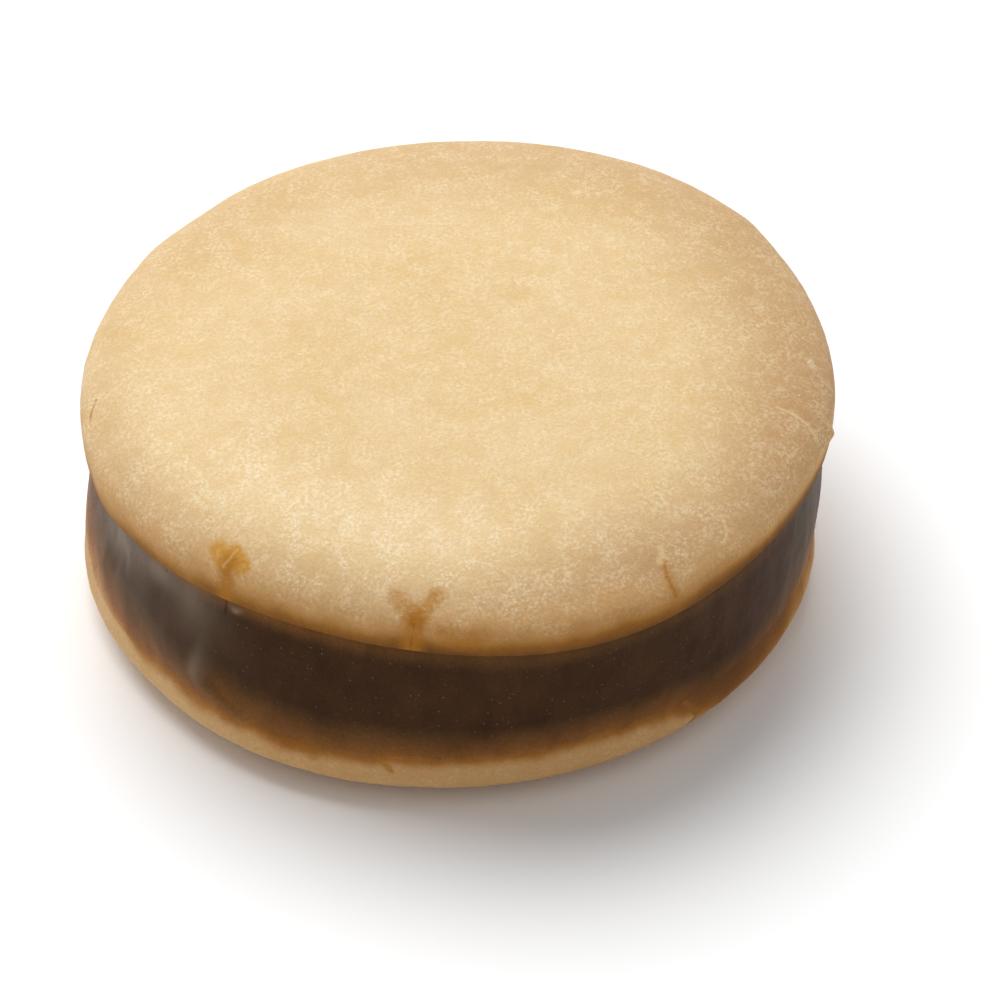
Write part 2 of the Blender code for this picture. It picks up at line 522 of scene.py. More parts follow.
class ScatterShaper(NodeShaper):
    """Scatters tiny grains over a surface, thickest where the speck_share attribute is high."""

    def __init__(self) -> None:
        """Name the inputs: grains for each square metre, sizes in metres."""
        super().__init__("scattered_grains", (
            ("Density", "NodeSocketFloat"), ("Smallest", "NodeSocketFloat"),
            ("Largest", "NodeSocketFloat"), ("Flatness", "NodeSocketFloat"),
            ("Seed", "NodeSocketInt"), ("Material", "NodeSocketMaterial")))

    def chain(self, given: bpy.types.bpy_prop_collection) -> bpy.types.NodeSocket:
        """Put grains of twenty faces on random points, turned to the surface and half sunk.

        Args:
            given: Output sockets of the tree's input node, by name.

        Returns:
            Socket with the grains.
        """
        tree = self.tree
        share = add_node(tree, "GeometryNodeInputNamedAttribute", {"Name": "speck_share"}, data_type="FLOAT")
        density = add_node(tree, "ShaderNodeMath", {0: share.outputs[0], 1: given["Density"]},
                           operation="MULTIPLY")
        points = add_node(tree, "GeometryNodeDistributePointsOnFaces",
                          {"Mesh": given["Geometry"], "Density": density.outputs[0], "Seed": given["Seed"]})
        grain = add_node(tree, "GeometryNodeMeshIcoSphere", {"Radius": 1.0, "Subdivisions": 1})
        size = add_node(tree, "FunctionNodeRandomValue",
                        {2: given["Smallest"], 3: given["Largest"], "Seed": given["Seed"]}, data_type="FLOAT")
        across = add_node(tree, "FunctionNodeRandomValue", {2: NARROWEST, 3: 1.0, "Seed": given["Seed"]},
                          data_type="FLOAT")
        width = add_node(tree, "ShaderNodeMath", {0: size.outputs[1], 1: across.outputs[1]},
                         operation="MULTIPLY")
        thick = add_node(tree, "ShaderNodeMath", {0: size.outputs[1], 1: given["Flatness"]},
                         operation="MULTIPLY")
        scale = add_node(tree, "ShaderNodeCombineXYZ",
                         {0: size.outputs[1], 1: width.outputs[0], 2: thick.outputs[0]})
        grains = add_node(tree, "GeometryNodeInstanceOnPoints",
                          {"Points": points.outputs["Points"], "Instance": grain.outputs["Mesh"],
                           "Rotation": points.outputs["Rotation"], "Scale": scale.outputs[0]})
        return grains.outputs[0]


@dataclass(frozen=True)
class Mark:
    """A stain, crack or scratch, drawn by the finish along a line that lies on the surface.

    Attributes:
        name: What it is.
        route: Its points, each an angle in degrees and a way up the piece in the piece's own measure.
        half_width: Half the width of its full strength, in millimetres.
        fade: Width of its soft edge, in millimetres.
        tone: Its colour.
        strength: Share of its colour at full strength.
    """

    name: str
    route: tuple[tuple[float, float], ...]
    half_width: float
    fade: float
    tone: Tone
    strength: float

    def cover(self, tree: bpy.types.NodeTree, place: bpy.types.NodeSocket, porous: bpy.types.NodeSocket,
              line: Sequence[Vector], colour: bpy.types.NodeSocket) -> bpy.types.NodeSocket:
        """Lay the mark's tone over a colour, by the distance from its line.

        Args:
            tree: Material's node tree.
            place: Point of the surface, in metres.
            porous: How well the surface takes the tone here, about 1.
            line: The mark's route in space, in metres.
            colour: Colour so far.

        Returns:
            The colour with the mark on it.
        """
        nearest = None
        for start, end in zip(line, line[1:]):
            run = end - start
            away = add_node(tree, "ShaderNodeVectorMath", {0: place, 1: start}, operation="SUBTRACT")
            along = add_node(tree, "ShaderNodeVectorMath", {0: away.outputs[0], 1: run / run.length_squared},
                             operation="DOT_PRODUCT")
            held = add_node(tree, "ShaderNodeClamp", {0: along.outputs["Value"]})
            foot = add_node(tree, "ShaderNodeVectorMath", {0: run, "Scale": held.outputs[0]},
                            operation="SCALE")
            gap = add_node(tree, "ShaderNodeVectorMath", {0: away.outputs[0], 1: foot.outputs[0]},
                           operation="DISTANCE").outputs["Value"]
            nearest = gap if nearest is None else add_node(
                tree, "ShaderNodeMath", {0: nearest, 1: gap}, operation="MINIMUM").outputs[0]
        inner = self.half_width * MM
        share = add_node(tree, "ShaderNodeMapRange",
                         {"Value": nearest, 1: inner + self.fade * MM, 2: inner, 3: 0.0, 4: self.strength},
                         interpolation_type="SMOOTHSTEP")
        taken = add_node(tree, "ShaderNodeMath", {0: share.outputs[0], 1: porous}, operation="MULTIPLY",
                         use_clamp=True)
        mixed = add_node(tree, "ShaderNodeMix",
                         {"Factor": taken.outputs[0], 6: colour, 7: self.tone.linear()}, data_type="RGBA")
        return mixed.outputs[2]


@dataclass(frozen=True)
class ToneScale:
    """Tones that a surface runs through.

    Attributes:
        stops: Shares from 0 to 1, and the tone at each.
    """

    stops: tuple[tuple[float, Tone], ...]

    def colour(self, tree: bpy.types.NodeTree, share: bpy.types.NodeSocket) -> bpy.types.NodeSocket:
        """Run through the tones.

        Args:
            tree: Material's node tree.
            share: Share from 0 to 1.

        Returns:
            Socket with the tone at that share.
        """
        node = add_node(tree, "ShaderNodeValToRGB", {"Fac": share})
        elements = node.color_ramp.elements
        for place, (position, tone) in enumerate(self.stops):
            element = elements[place] if place < len(elements) else elements.new(position)
            element.position = position
            element.color = tone.linear()
        return node.outputs["Color"]


@dataclass(frozen=True)
class Patchwork:
    """A share from 0 to 1 that varies over a surface.

    Attributes:
        size: Distance between like patches, in metres.
        low: Noise value that gives 0.
        high: Noise value that gives 1.
        detail: Octaves of finer noise.
        roughness: Strength of each finer octave.
    """

    size: float
    low: float
    high: float
    detail: float = 2.0
    roughness: float = 0.55

    def share(self, tree: bpy.types.NodeTree, place: bpy.types.NodeSocket) -> bpy.types.NodeSocket:
        """Draw the pattern.

        Args:
            tree: Material's node tree.
            place: Point of the surface, in metres.

        Returns:
            Socket with the share there.
        """
        noise = add_node(tree, "ShaderNodeTexNoise",
                         {"Vector": place, "Scale": 1.0 / self.size, "Detail": self.detail,
                          "Roughness": self.roughness})
        return add_node(tree, "ShaderNodeMapRange",
                        {"Value": noise.outputs[0], 1: self.low, 2: self.high}).outputs[0]


def new_material(name: str) -> tuple[bpy.types.Material, bpy.types.NodeTree, bpy.types.Node]:
    """Make an empty node material with its Principled shader joined to the output.

    Args:
        name: The material's name.

    Returns:
        The material, its node tree and its shader.
    """
    material = bpy.data.materials.new(name)
    material.use_nodes = True
    tree = material.node_tree
    tree.nodes.clear()
    shader = add_node(tree, "ShaderNodeBsdfPrincipled")
    add_node(tree, "ShaderNodeOutputMaterial", {"Surface": shader.outputs[0]})
    return material, tree, shader


# Tones of the biscuit's rim and of the side, from clear crust to plain filling
RIM_SOAK = ToneScale((
    (0.0, Tone.CRUST_WARM), (0.32, Tone.CRUST_WARM), (0.45, Tone.RIM_TAN), (0.58, Tone.RIM_AMBER),
    (0.70, Tone.RIM_ORANGE), (0.81, Tone.RIM_BROWN), (0.91, Tone.RIM_DEEP), (1.0, Tone.RIM_DARK)))
SIDE_SOAK = ToneScale((
    (0.0, Tone.SIDE_CLEAR), (0.06, Tone.SIDE_TAN), (0.17, Tone.SIDE_AMBER), (0.25, Tone.SIDE_ORANGE),
    (0.36, Tone.SIDE_BROWN), (0.55, Tone.SIDE_DEEP), (0.8, Tone.SIDE_DARK), (1.0, Tone.CARAMEL)))


def frayed_soak(tree: bpy.types.NodeTree, place: bpy.types.NodeSocket, amount: float,
                pitch: float = 3.0 * MM) -> bpy.types.NodeSocket:
    """The soak_share attribute with an uneven edge.

    Args:
        tree: Material's node tree.
        place: Point of the surface, in metres.
        amount: Share that the edge wanders either way.
        pitch: Distance between its bays, in metres.

    Returns:
        Socket with the share, from 0 on clear biscuit to 1 on plain filling.
    """
    soak = add_node(tree, "ShaderNodeAttribute", attribute_name="soak_share").outputs["Fac"]
    tall = add_node(tree, "ShaderNodeMapping", {"Vector": place, "Scale": (1.0, 1.0, 0.6)})
    noise = add_node(tree, "ShaderNodeTexNoise",
                     {"Vector": tall.outputs[0], "Scale": 1 / pitch, "Detail": 2.0, "Roughness": 0.5})
    wander = add_node(tree, "ShaderNodeMapRange",
                      {"Value": noise.outputs[0], 1: NOISE_LOW, 2: NOISE_HIGH, 3: -amount, 4: amount})
    return add_node(tree, "ShaderNodeMath", {0: soak, 1: wander.outputs[0]}, use_clamp=True).outputs[0]


@dataclass(frozen=True)
class BiscuitFinish:
    """Baked wheat and cornflour crust under a very thin sugar glaze.

    The eye gets a matt, creamy beige with a fine pale bloom of sugar crystals in small clusters,
    duller and browner at the rim, and brown where the filling has soaked through. A single crystal,
    under a tenth of a millimetre, is too fine to show, so they are drawn as spots of about 0.3 mm.

    Attributes:
        name: Name of the material.
        middle: Tone of the crust, which turns to the deep one in patches.
        deep: Tone of those patches.
        edge: Tone of the browner rim, which on the top biscuit is partly painted shade.
        soak: Tones where the filling has soaked in.
        soak_wander: How far the soaked part's edge wanders, as a share of soak.
        soak_blend: Share of soak at which its tone hides the crust.
        dot_size: Distance between the smallest spots of sugar, in metres.
        dot_edge: Distances from a spot's middle where it ends and where it is full, in such sizes.
        crystal_share: Strength of the fine crystals, and dot_share that of the spots.
        ruffle_size: Size of the bays in a mark's edge, and ruffle_reach their depth, in metres.
        bloom_strength: Strength of the bloom on clear crust.
        bloom_fade: Shares of soak between which it fades out.
        grain_shade: Brightness of the darkest and lightest grain.
        porous: How well bare and sugared crust take a mark's tone.
        roughness: Roughness of bare and sugared crust.
        glow: Share of the light that comes back from inside, with its depth and its spread by colour.
    """

    name: str
    middle: Tone
    deep: Tone
    edge: Tone
    soak: ToneScale
    soak_wander: float = 0.06
    soak_blend: float = 0.40
    patches: Patchwork = Patchwork(7.0 * MM, 0.32, 0.68)
    clusters: Patchwork = Patchwork(1.9 * MM, 0.30, 0.62)
    crystals: Patchwork = Patchwork(0.36 * MM, 0.42, 0.68, roughness=0.6)
    grain: Patchwork = Patchwork(0.22 * MM, 0.30, 0.70)
    dot_size: float = 0.34 * MM
    dot_edge: tuple[float, float] = (0.42, 0.12)
    crystal_share: float = 0.85
    dot_share: float = 0.9
    ruffle_size: float = 0.7 * MM
    ruffle_reach: float = 0.4 * MM
    bloom_strength: float = 0.52
    bloom_fade: tuple[float, float] = (0.2, 0.75)
    grain_shade: tuple[float, float] = (0.94, 1.06)
    porous: tuple[float, float] = (1.05, 0.80)
    roughness: tuple[float, float] = (0.55, 0.70)
    gloss: float = 0.04
    bump_strength: float = 0.6
    bump_depth: float = 0.030 * MM
    glow: float = 0.2
    glow_depth: float = 0.7 * MM
    glow_spread: tuple[float, float, float] = (1.0, 0.55, 0.25)

    def material(self, marks: Sequence[Mark], lines: Sequence[Sequence[Vector]]) -> bpy.types.Material:
        """Build the material.

        Args:
            marks: Stains and scratches that it draws.
            lines: The route of each mark in space.

        Returns:
            The node material.
        """
        material, tree, shader = new_material(self.name)
        place = add_node(tree, "ShaderNodeTexCoord").outputs["Object"]
        patches = self.patches.share(tree, place)
        # light_share: a paler crust along the top biscuit's shoulder, and painted light on the bottom
        # biscuit's left side
        light, rim, thick = [add_node(tree, "ShaderNodeAttribute", attribute_name=name).outputs["Fac"]
                             for name in ("light_share", "edge_share", "bloom_share")]
        colour = self.middle.linear()
        for share, tone in ((patches, self.deep), (light, Tone.CRUST_LIGHT), (rim, self.edge)):
            colour = add_node(tree, "ShaderNodeMix", {"Factor": share, 6: colour, 7: tone.linear()},
                              data_type="RGBA").outputs[2]
        soak = frayed_soak(tree, place, self.soak_wander)
        soaked = add_node(tree, "ShaderNodeMapRange", {"Value": soak, 1: 0.0, 2: self.soak_blend},
                          interpolation_type="SMOOTHSTEP")
        colour = add_node(tree, "ShaderNodeMix",
                          {"Factor": soaked.outputs[0], 6: colour, 7: self.soak.colour(tree, soak)},
                          data_type="RGBA").outputs[2]
        crystals, clusters, grain = [pattern.share(tree, place)
                                     for pattern in (self.crystals, self.clusters, self.grain)]
        cells = add_node(tree, "ShaderNodeTexVoronoi", {"Vector": place, "Scale": 1 / self.dot_size})
        outer, inner = self.dot_edge
        dots = add_node(tree, "ShaderNodeMapRange",
                        {"Value": cells.outputs["Distance"], 1: outer, 2: inner, 3: 0.0, 4: self.dot_share})
        heaped = add_node(tree, "ShaderNodeMath", {0: crystals, 1: self.crystal_share, 2: dots.outputs[0]},
                          operation="MULTIPLY_ADD", use_clamp=True)
        both = add_node(tree, "ShaderNodeMath", {0: heaped.outputs[0], 1: clusters}, operation="MULTIPLY")
        start, end = self.bloom_fade
        clear = add_node(tree, "ShaderNodeMapRange",
                         {"Value": soak, 1: start, 2: end, 3: self.bloom_strength, 4: 0.0})
        bloom = both.outputs[0]
        for share in (thick, clear.outputs[0]):
            bloom = add_node(tree, "ShaderNodeMath", {0: bloom, 1: share}, operation="MULTIPLY").outputs[0]
        colour = add_node(tree, "ShaderNodeMix", {"Factor": bloom, 6: colour, 7: Tone.BLOOM.linear()},
                          data_type="RGBA").outputs[2]
        low, high = self.grain_shade
        shade = add_node(tree, "ShaderNodeMapRange", {"Value": grain, 3: low, 4: high})
        colour = add_node(tree, "ShaderNodeVectorMath", {0: colour, "Scale": shade.outputs[0]},
                          operation="SCALE").outputs[0]
        ruffle = add_node(tree, "ShaderNodeTexNoise",
                          {"Vector": place, "Scale": 1 / self.ruffle_size, "Detail": 2.0})
        shake = add_node(tree, "ShaderNodeVectorMath", {0: ruffle.outputs["Color"], 1: (0.5, 0.5, 0.5)},
                         operation="SUBTRACT")
        small = add_node(tree, "ShaderNodeVectorMath", {0: shake.outputs[0], "Scale": self.ruffle_reach},
                         operation="SCALE")
        ragged = add_node(tree, "ShaderNodeVectorMath", {0: place, 1: small.outputs[0]})
        low, high = self.porous
        porous = add_node(tree, "ShaderNodeMapRange", {"Value": crystals, 3: low, 4: high})
        for mark, line in zip(marks, lines):
            colour = mark.cover(tree, ragged.outputs[0], porous.outputs[0], line, colour)
        tree.links.new(colour, shader.inputs["Base Color"])
        low, high = self.roughness
        dull = add_node(tree, "ShaderNodeMapRange", {"Value": both.outputs[0], 3: low, 4: high})
        tree.links.new(dull.outputs[0], shader.inputs["Roughness"])
        height = add_node(tree, "ShaderNodeMath", {0: heaped.outputs[0], 1: grain})
        bump = add_node(tree, "ShaderNodeBump",
                        {"Strength": self.bump_strength, "Distance": self.bump_depth,
                         "Height": height.outputs[0]})
        tree.links.new(bump.outputs[0], shader.inputs["Normal"])
        shader.inputs["Specular IOR Level"].default_value = self.gloss
        shader.inputs["Subsurface Weight"].default_value = self.glow
        shader.inputs["Subsurface Radius"].default_value = self.glow_spread
        shader.inputs["Subsurface Scale"].default_value = self.glow_depth
        return material


@dataclass(frozen=True)
class CaramelFinish:
    """Set dulce de leche under a thin glaze: very dark brown, smooth and nearly matt.

    The eye gets a nearly black brown with faint upright streaks, a painted grey sheen where the left
    flank and the fold's crest catch the light, and amber where it thins out over the bottom biscuit.
    Its grain, of some hundredths of a millimetre, is too fine to show, so it is drawn 0.25 mm wide.

    Attributes:
        soak_wander: How far the soaked part's edge wanders, as a share of soak.
        painted_sheen: Strength of the painted sheen between and on the streaks.
        streak_shade: Brightness between and on the streaks.
        grain_shade: Brightness of the darkest and lightest grain.
        roughness: Roughness between and on the streaks.
    """

    name: str = "set_dulce_de_leche"
    patches: Patchwork = Patchwork(3.2 * MM, 0.35, 0.65)
    streaks: Patchwork = Patchwork(1.8 * MM, 0.35, 0.70, detail=3.0)
    grain: Patchwork = Patchwork(0.25 * MM, 0.35, 0.65)
    soak_wander: float = 0.06
    painted_sheen: tuple[float, float] = (0.85, 1.15)
    streak_shade: tuple[float, float] = (1.10, 0.78)
    grain_shade: tuple[float, float] = (0.90, 1.10)
    roughness: tuple[float, float] = (0.34, 0.44)
    ior: float = 1.45
    gloss: float = 0.028
    bump_strength: float = 0.4
    bump_depth: float = 0.03 * MM

    def material(self, marks: Sequence[Mark], lines: Sequence[Sequence[Vector]]) -> bpy.types.Material:
        """Build the material.

        Args:
            marks: Cracks that it draws.
            lines: The route of each mark in space.

        Returns:
            The node material.
        """
        material, tree, shader = new_material(self.name)
        place = add_node(tree, "ShaderNodeTexCoord").outputs["Object"]
        tall = add_node(tree, "ShaderNodeMapping", {"Vector": place, "Scale": (1.0, 1.0, 0.3)})
        streaks = self.streaks.share(tree, tall.outputs[0])
        patches, grain = self.patches.share(tree, place), self.grain.share(tree, place)
        uneven = add_node(tree, "ShaderNodeMath", {0: patches, 1: streaks}, operation="MULTIPLY")
        painted_sheen, darker, dim, dull = [
            add_node(tree, "ShaderNodeMapRange", {"Value": value, 3: low, 4: high}).outputs[0]
            for value, (low, high) in ((streaks, self.painted_sheen), (uneven.outputs[0], self.streak_shade),
                                       (grain, self.grain_shade), (streaks, self.roughness))]
        # Painted sheen: grey mixed in where the flanks and the fold's crest catch the light
        sheen_mask = add_node(tree, "ShaderNodeAttribute", attribute_name="haze_share").outputs["Fac"]
        sheen_amount = add_node(tree, "ShaderNodeMath", {0: sheen_mask, 1: painted_sheen}, operation="MULTIPLY")
        shade = add_node(tree, "ShaderNodeMath", {0: darker, 1: dim}, operation="MULTIPLY")
        colour = SIDE_SOAK.colour(tree, frayed_soak(tree, place, self.soak_wander))
        colour = add_node(tree, "ShaderNodeVectorMath", {0: colour, "Scale": shade.outputs[0]},
                          operation="SCALE").outputs[0]
        colour = add_node(tree, "ShaderNodeMix",
                          {"Factor": sheen_amount.outputs[0], 6: colour, 7: Tone.SHEEN_GREY.linear()},
                          data_type="RGBA").outputs[2]
        for mark, line in zip(marks, lines):
            colour = mark.cover(tree, place, dim, line, colour)
        tree.links.new(colour, shader.inputs["Base Color"])
        tree.links.new(dull, shader.inputs["Roughness"])
        bump = add_node(tree, "ShaderNodeBump",
                        {"Strength": self.bump_strength, "Distance": self.bump_depth, "Height": streaks})
        tree.links.new(bump.outputs[0], shader.inputs["Normal"])
        shader.inputs["IOR"].default_value = self.ior
        shader.inputs["Specular IOR Level"].default_value = self.gloss
        return material


@dataclass(frozen=True)
class GrainFinish:
    """Loose grains: sugar crystals on the crust, or pale milk specks in the filling.

    The eye gets tiny dull points that differ a little in colour from place to place.
    """

    name: str
    tone: Tone
    other: Tone
    roughness: float
    glow: float = 0.0
    glow_depth: float = 0.3 * MM
    gloss: float = 0.1
    patches: Patchwork = Patchwork(0.9 * MM, 0.35, 0.65)

    def material(self) -> bpy.types.Material:
        """Build the material.

        Returns:
            The node material.
        """
        material, tree, shader = new_material(self.name)
        place = add_node(tree, "ShaderNodeTexCoord").outputs["Object"]
        colour = add_node(tree, "ShaderNodeMix",
                          {"Factor": self.patches.share(tree, place), 6: self.tone.linear(),
                           7: self.other.linear()}, data_type="RGBA")
        tree.links.new(colour.outputs[2], shader.inputs["Base Color"])
        shader.inputs["Roughness"].default_value = self.roughness
        shader.inputs["Specular IOR Level"].default_value = self.gloss
        shader.inputs["Subsurface Weight"].default_value = self.glow
        shader.inputs["Subsurface Scale"].default_value = self.glow_depth
        return material


@dataclass
class TurnedPiece:
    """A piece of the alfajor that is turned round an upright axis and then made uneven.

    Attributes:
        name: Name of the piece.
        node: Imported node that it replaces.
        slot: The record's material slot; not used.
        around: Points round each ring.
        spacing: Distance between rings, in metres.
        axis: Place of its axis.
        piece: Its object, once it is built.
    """

    name: str
    node: str
    slot: str
    around: int = 540
    spacing: float = 0.28 * MM
    axis: Vector = field(init=False)
    piece: bpy.types.Object = field(init=False)

    def section(self) -> np.ndarray:
        """Draw the turned section, from the middle below to the middle on top.

        Returns:
            Radius and height of each place, one row each.
        """
        raise NotImplementedError

    def ring_points(self, section: np.ndarray, angle: np.ndarray) -> np.ndarray:
        """Turn the section round the axis and make it uneven.

        Args:
            section: Radius and height of each place, one row each.
            angle: Angles round the axis, in radians.

        Returns:
            Points by place of the section, by angle and by axis.
        """
        raise NotImplementedError

    def attributes(self, section: np.ndarray, angle: np.ndarray, points: np.ndarray) -> dict[str, np.ndarray]:
        """Name the values that the shapers and finishes read.

        Args:
            section: Radius and height of each place, one row each.
            angle: Angles round the axis, in radians.
            points: Points by place of the section, by angle and by axis.

        Returns:
            Values for every point, by name.
        """
        raise NotImplementedError

    def place(self, angle: float, way: float) -> Vector:
        """Find a point on the skin.

        Args:
            angle: Degrees round the axis from +X.
            way: Way up the piece, in its own measure.

        Returns:
            The point, in metres.
        """
        raise NotImplementedError

    def point(self, angle: float, radius: float, height: float) -> Vector:
        """Point in space, at degrees round the axis, of a place on the turned section."""
        spot = np.array([[radius, height]])
        return Vector(self.ring_points(spot, np.array([math.radians(angle)]))[0, 0])

    def build(self) -> None:
        """Make the piece's plain mesh and put it into the scene."""
        angle = np.linspace(0.0, math.tau, self.around, endpoint=False)
        section = self.section()
        points = self.ring_points(section, angle)
        mesh = closed_loft(self.name, points, self.attributes(section, angle, points))
        self.piece = add_object(self.name, mesh)

    def dress(self, finish: BiscuitFinish | CaramelFinish, marks: Sequence[Mark], bumps: dict[str, float],
              shaper: ReliefShaper) -> None:
        """Raise the uneven surface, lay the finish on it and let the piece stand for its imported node.

        Args:
            finish: Its finish.
            marks: Stains, cracks and scratches on it.
            bumps: Inputs of the relief tree.
            shaper: The relief tree.
        """
        lines = [[self.place(*spot) for spot in mark.route] for mark in marks]
        shaper.run(self.piece, {**bumps, "Material": finish.material(marks, lines)})
        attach(self.piece, BODY)
        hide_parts(self.node)


@dataclass
class Biscuit(TurnedPiece):
    """A biscuit, whose outline is a circle with a few waves.

    Attributes:
        waves: Unevenness of its outline.
        radius: Widest radius without the waves, in metres.
    """

    waves: tuple[Wave, ...] = ()
    radius: float = 31.0 * MM

    def __post_init__(self) -> None:
        """Find the axis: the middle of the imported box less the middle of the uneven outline."""
        low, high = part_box(self.node)
        turn = np.radians(np.arange(0, 360, PACKED_STEP))
        radius = self.outline(turn)
        x, y = radius * np.cos(turn), radius * np.sin(turn)
        own = Vector(((x.min() + x.max()) / 2, (y.min() + y.max()) / 2, 0.0))
        self.axis = (low + high) / 2 - own
        self.axis.z = 0.0

    def outline(self, angle: np.ndarray) -> np.ndarray:
        """Widest radius at angles in radians."""
        return self.radius + waves_at(angle, self.waves)


# How far the line between top biscuit and filling is lifted, in mm
RIM_LIFT = AngleTable(((10, 0.1), (40, 0.0), (170, 0.0), (195, -0.2), (205, -0.3), (228, -0.35), (245, -0.3),
                       (256, -0.15), (265, 0.1), (275, 0.22), (290, 0.1), (300, 0.05), (320, 0.2), (335, 0.3),
                       (350, 0.2)))
# Where the duller, browner rim of the top biscuit starts, as a share of the radius, and how strong it is
# It is partly real browning and partly painted shade, strongest on the right, away from the lamp
TOAST_AND_SHADE_START = AngleTable(((0, 0.52), (15, 0.45), (60, 0.45), (90, 0.35), (120, 0.40), (150, 0.50),
                          (165, 0.70), (195, 0.80), (225, 0.85), (255, 0.84), (270, 0.80), (285, 0.68),
                          (300, 0.65), (315, 0.68), (330, 0.62), (345, 0.55)))
TOAST_AND_SHADE_SHARE = AngleTable(((0, 0.95), (15, 0.82), (30, 0.80), (60, 0.68), (90, 0.58), (105, 0.52), (120, 0.42),
                          (135, 0.45), (150, 0.38), (165, 0.30), (180, 0.25), (195, 0.40), (210, 0.55),
                          (225, 0.45), (255, 0.45), (270, 0.55), (285, 0.72), (300, 0.95), (315, 0.80),
                          (330, 0.95), (345, 1.0)))
# How much more sugar bloom lies along the shoulder
EXTRA_BLOOM = AngleTable(((165, 0.0), (195, 0.2), (210, 0.6), (228, 1.0), (270, 1.0), (290, 0.3), (310, 0.0)))


